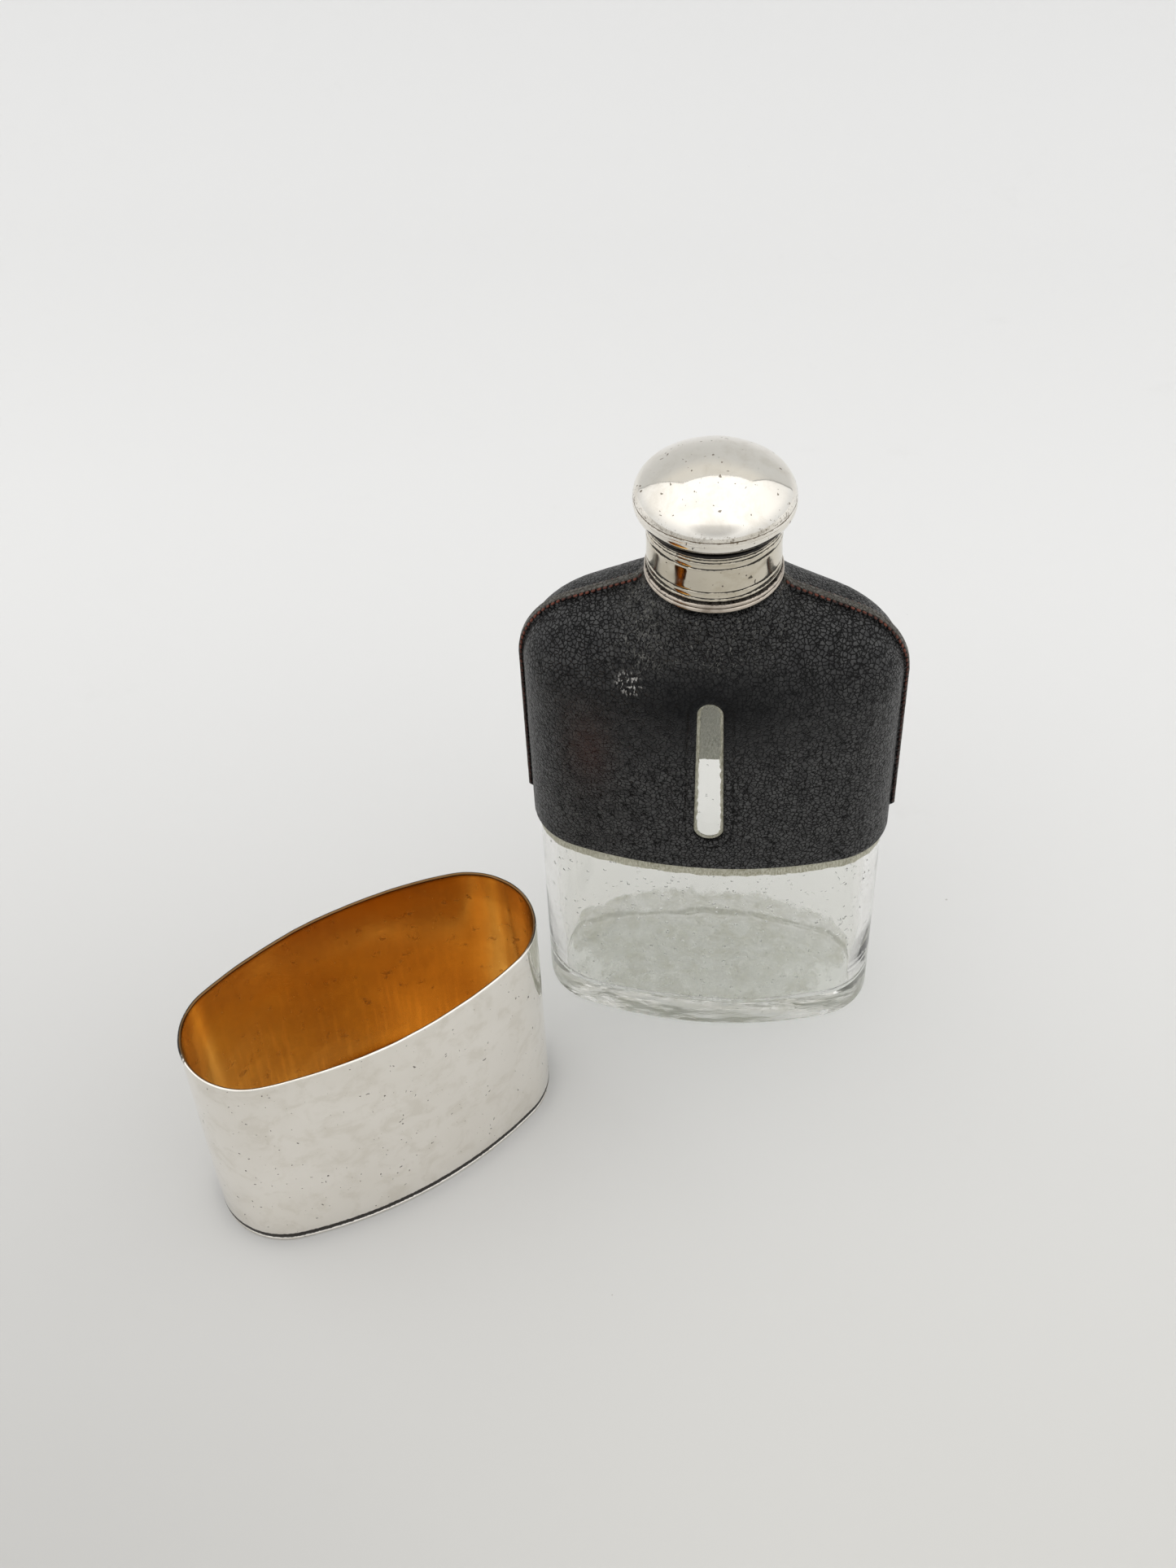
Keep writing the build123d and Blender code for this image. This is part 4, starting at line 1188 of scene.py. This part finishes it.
def sweep_stage():
    """Pale paper floor that curves up behind the object into a standing sheet; its tone is painted darker
    near the camera and to the left, darker on the sheet and lighter high up as painted light falloff and
    painted shade, with a dark strip along the sheet's edges as painted shadow.
    """
    bend_y, bend_radius, floor_z, painted_shadow_hem = 330.0, 150.0, -0.15, 26.0
    half_sheet, half_floor, centre_x = 523, 2600, -77
    top_z, top_slope = 1035, 0.33
    run = [(y, floor_z, 0.0) for y in (-half_floor, -1200, -500, -200, 0, 150)]
    for turn in np.radians(np.linspace(0, 90, 24)):
        run.append((bend_y + bend_radius * math.sin(turn), bend_radius * (1 - math.cos(turn)) + floor_z, 0.0))
    run += [(bend_y + bend_radius, bend_radius, share) for share in np.append(np.linspace(0.06, 0.97, 12), 1)]
    rows, painted_shadow_hems = [], []
    for y, z, share in run:
        half = half_sheet + (half_floor - half_sheet) * max(0, 1 - z / 60) ** 2 + 60 * max(0, 0.5 - share)
        x = np.concatenate([[-half], np.linspace(painted_shadow_hem - half, half - painted_shadow_hem, 9), [half]]) + centre_x
        top = top_z - top_slope * x
        rows.append(np.stack([x, y + 0 * x, z + share * (top - z)], -1))
        # edge rows and columns of the sheet that get the dark painted shadow strip
        painted_shadow_hems.append((share == 1) | ((z > 100) & (np.abs(x - centre_x) > half - 1)))
    points = np.array(rows)
    s = Shader("paper")
    # painted light falloff and painted shade: darker near the camera and to the left, darker on the standing
    # sheet, lighter high up
    along = s.ramp(s.axis("Y"), -300, 190)
    up = s.ramp(s.axis("Z"), 30, 300)
    scuff = s.ramp(s.noise(38, 5, 0.7, seed=3), 0.60, 0.76, 0.0, 0.05)
    near = s.mix(s.ramp(s.axis("X"), -130, 40), tone(186, 185, 182), tone(203, 202, 198))
    s.base = s.mix(along, near, tone(238, 238, 238))
    s.paint(up, 226, 227, 227)
    s.paint(s.ramp(s.axis("Z"), 430, 800), 250, 248, 243)
    s.paint(scuff, 160, 158, 150)
    dust = s.below(s.cells(26, "F1", warp=0.5), s.ramp(s.noise(90, 2), 0.45, 0.75, 0.0, 0.045))
    s.paint(s.times(dust, 0.45), 150, 148, 142)
    # dark strip along the sheet's top and side edges: painted shadow of the sheet's edge
    s.paint(s.attribute("painted_shadow_hem"), 60, 58, 55)
    s.set(Base_Color=s.base, Roughness=0.85, Specular_IOR_Level=0.2)
    floor = make_object("paper_sweep", points, grid_quads(len(points), 11, wrap_columns=False), [s.material])
    add_attribute(floor, "painted_shadow_hem", np.array(painted_shadow_hems))
    return floor


def studio_light():
    """Even white tent: brightest overhead, dimmer round the horizon, with the camera's soft dark shape."""
    horizon, overhead = (0.82, 0.83, 0.84, 1), (1.30, 1.29, 1.27, 1)
    camera_shade = 0.58
    world = bpy.data.worlds.new("tent")
    bpy.context.scene.world = world
    world.use_nodes = True
    w = Nodes(world.node_tree)
    w.tree.nodes.clear()
    where = w.node("ShaderNodeTexCoord").outputs["Generated"]
    height = w.fill(w.node("ShaderNodeSeparateXYZ"), (where,), "Z")
    tint = w.mix(w.ramp(height, -0.1, 0.95), horizon, overhead)
    toward = w.node("ShaderNodeVectorMath", operation="DOT_PRODUCT")
    facing = w.fill(toward, (where, Vector((0.05, -0.80, 0.60)).normalized()), "Value")
    strength = w.ramp(facing, 0.80, 0.99, 1.0, camera_shade)
    light = w.fill(w.node("ShaderNodeBackground"), (tint, strength))
    w.put(w.node("ShaderNodeOutputWorld").inputs["Surface"], light)


def camera():
    """Camera above and in front of the object, looking down at it."""
    data = bpy.data.cameras.new("camera")
    data.sensor_width, data.lens = 36, 43.88
    data.shift_x, data.shift_y = -0.0070, -0.0021
    data.clip_start, data.clip_end = 0.01, 20
    stand = Vector((15.206, -291.467, 358.976)) * MM
    yaw, pitch, roll = -0.135, 0.791, -0.043
    ahead = Vector((math.sin(yaw) * math.cos(pitch), math.cos(yaw) * math.cos(pitch), -math.sin(pitch)))
    level = Vector((math.cos(yaw), -math.sin(yaw), 0))
    above = level.cross(ahead)
    right = level * math.cos(roll) + above * math.sin(roll)
    upward = above * math.cos(roll) - level * math.sin(roll)
    obj = bpy.data.objects.new("camera", data)
    turn = Matrix((right, upward, -ahead)).transposed().to_4x4()
    obj.matrix_world = Matrix.Translation(stand) @ turn
    bpy.context.scene.collection.objects.link(obj)
    bpy.context.scene.camera = obj


# ---------------------------------------------------------------- assembly


def finish_cad_nodes(brass, plate, cork, cement):
    """Give the CAD pieces that stay in view their materials."""
    kept = {"neck_sleeve": plate, "neck_cement": cement, "cork_disc": cork, "stopper_pin": brass}
    kept.update(cap_seat_plate=brass, cap_thread_sleeve=brass)
    for name, material in kept.items():
        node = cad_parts[name]
        node.data.materials.clear()
        node.data.materials.append(material)


def build():
    """Make every piece in its place."""
    shades = [tone(244, 240, 232), tone(212, 204, 190), tone(96, 82, 62)]
    cap_plate = plate_material("cap_plate", *shades, 0.36, 1)
    # the moulding's near-black third tone colours its pits and the painted dark reflection in its hollow
    shades = [tone(240, 236, 228), tone(208, 200, 186), tone(26, 23, 21)]
    cove_plate = plate_material("cove_plate", *shades, 0.30, 5)
    shades = [tone(212, 205, 190), tone(182, 172, 152), tone(34, 29, 23)]
    band_plate = plate_material("band_plate", *shades, 0.5, 11)
    shades = [tone(200, 190, 178), tone(150, 138, 125), tone(40, 33, 27)]
    ring_plate = plate_material("ring_plate", *shades, 0.8, 21)
    shades = [tone(246, 242, 235), tone(214, 207, 193), tone(38, 33, 29)]
    cup_plate = plate_material("cup_plate", *shades, 0.36, 31, 0.7)
    gilt = gilt_material()
    brass = metal_material("old_brass", tone(206, 168, 98), tone(146, 108, 58), 0.25)
    leathers, cloth, thread = leather_material(), lining_material(), thread_material()
    glass_bottle(glass_material())
    for side in (-1, 1):
        lining(side, cloth)
        leather(side, leathers)
        for end in (-1, 1):
            stitches(side, end, thread)
    collar_ring(ring_plate)
    cap_skirt(band_plate)
    cap_cove(cove_plate)
    cap_dome(cap_plate)
    cup_wall(cup_plate, gilt)
    cup_floor(cup_plate, gilt)
    cup_foot(cup_plate)
    finish_cad_nodes(brass, band_plate, cork_material(), cement_material())


build()
sweep_stage()
studio_light()
camera()
bpy.context.scene.view_settings.view_transform = "Standard"
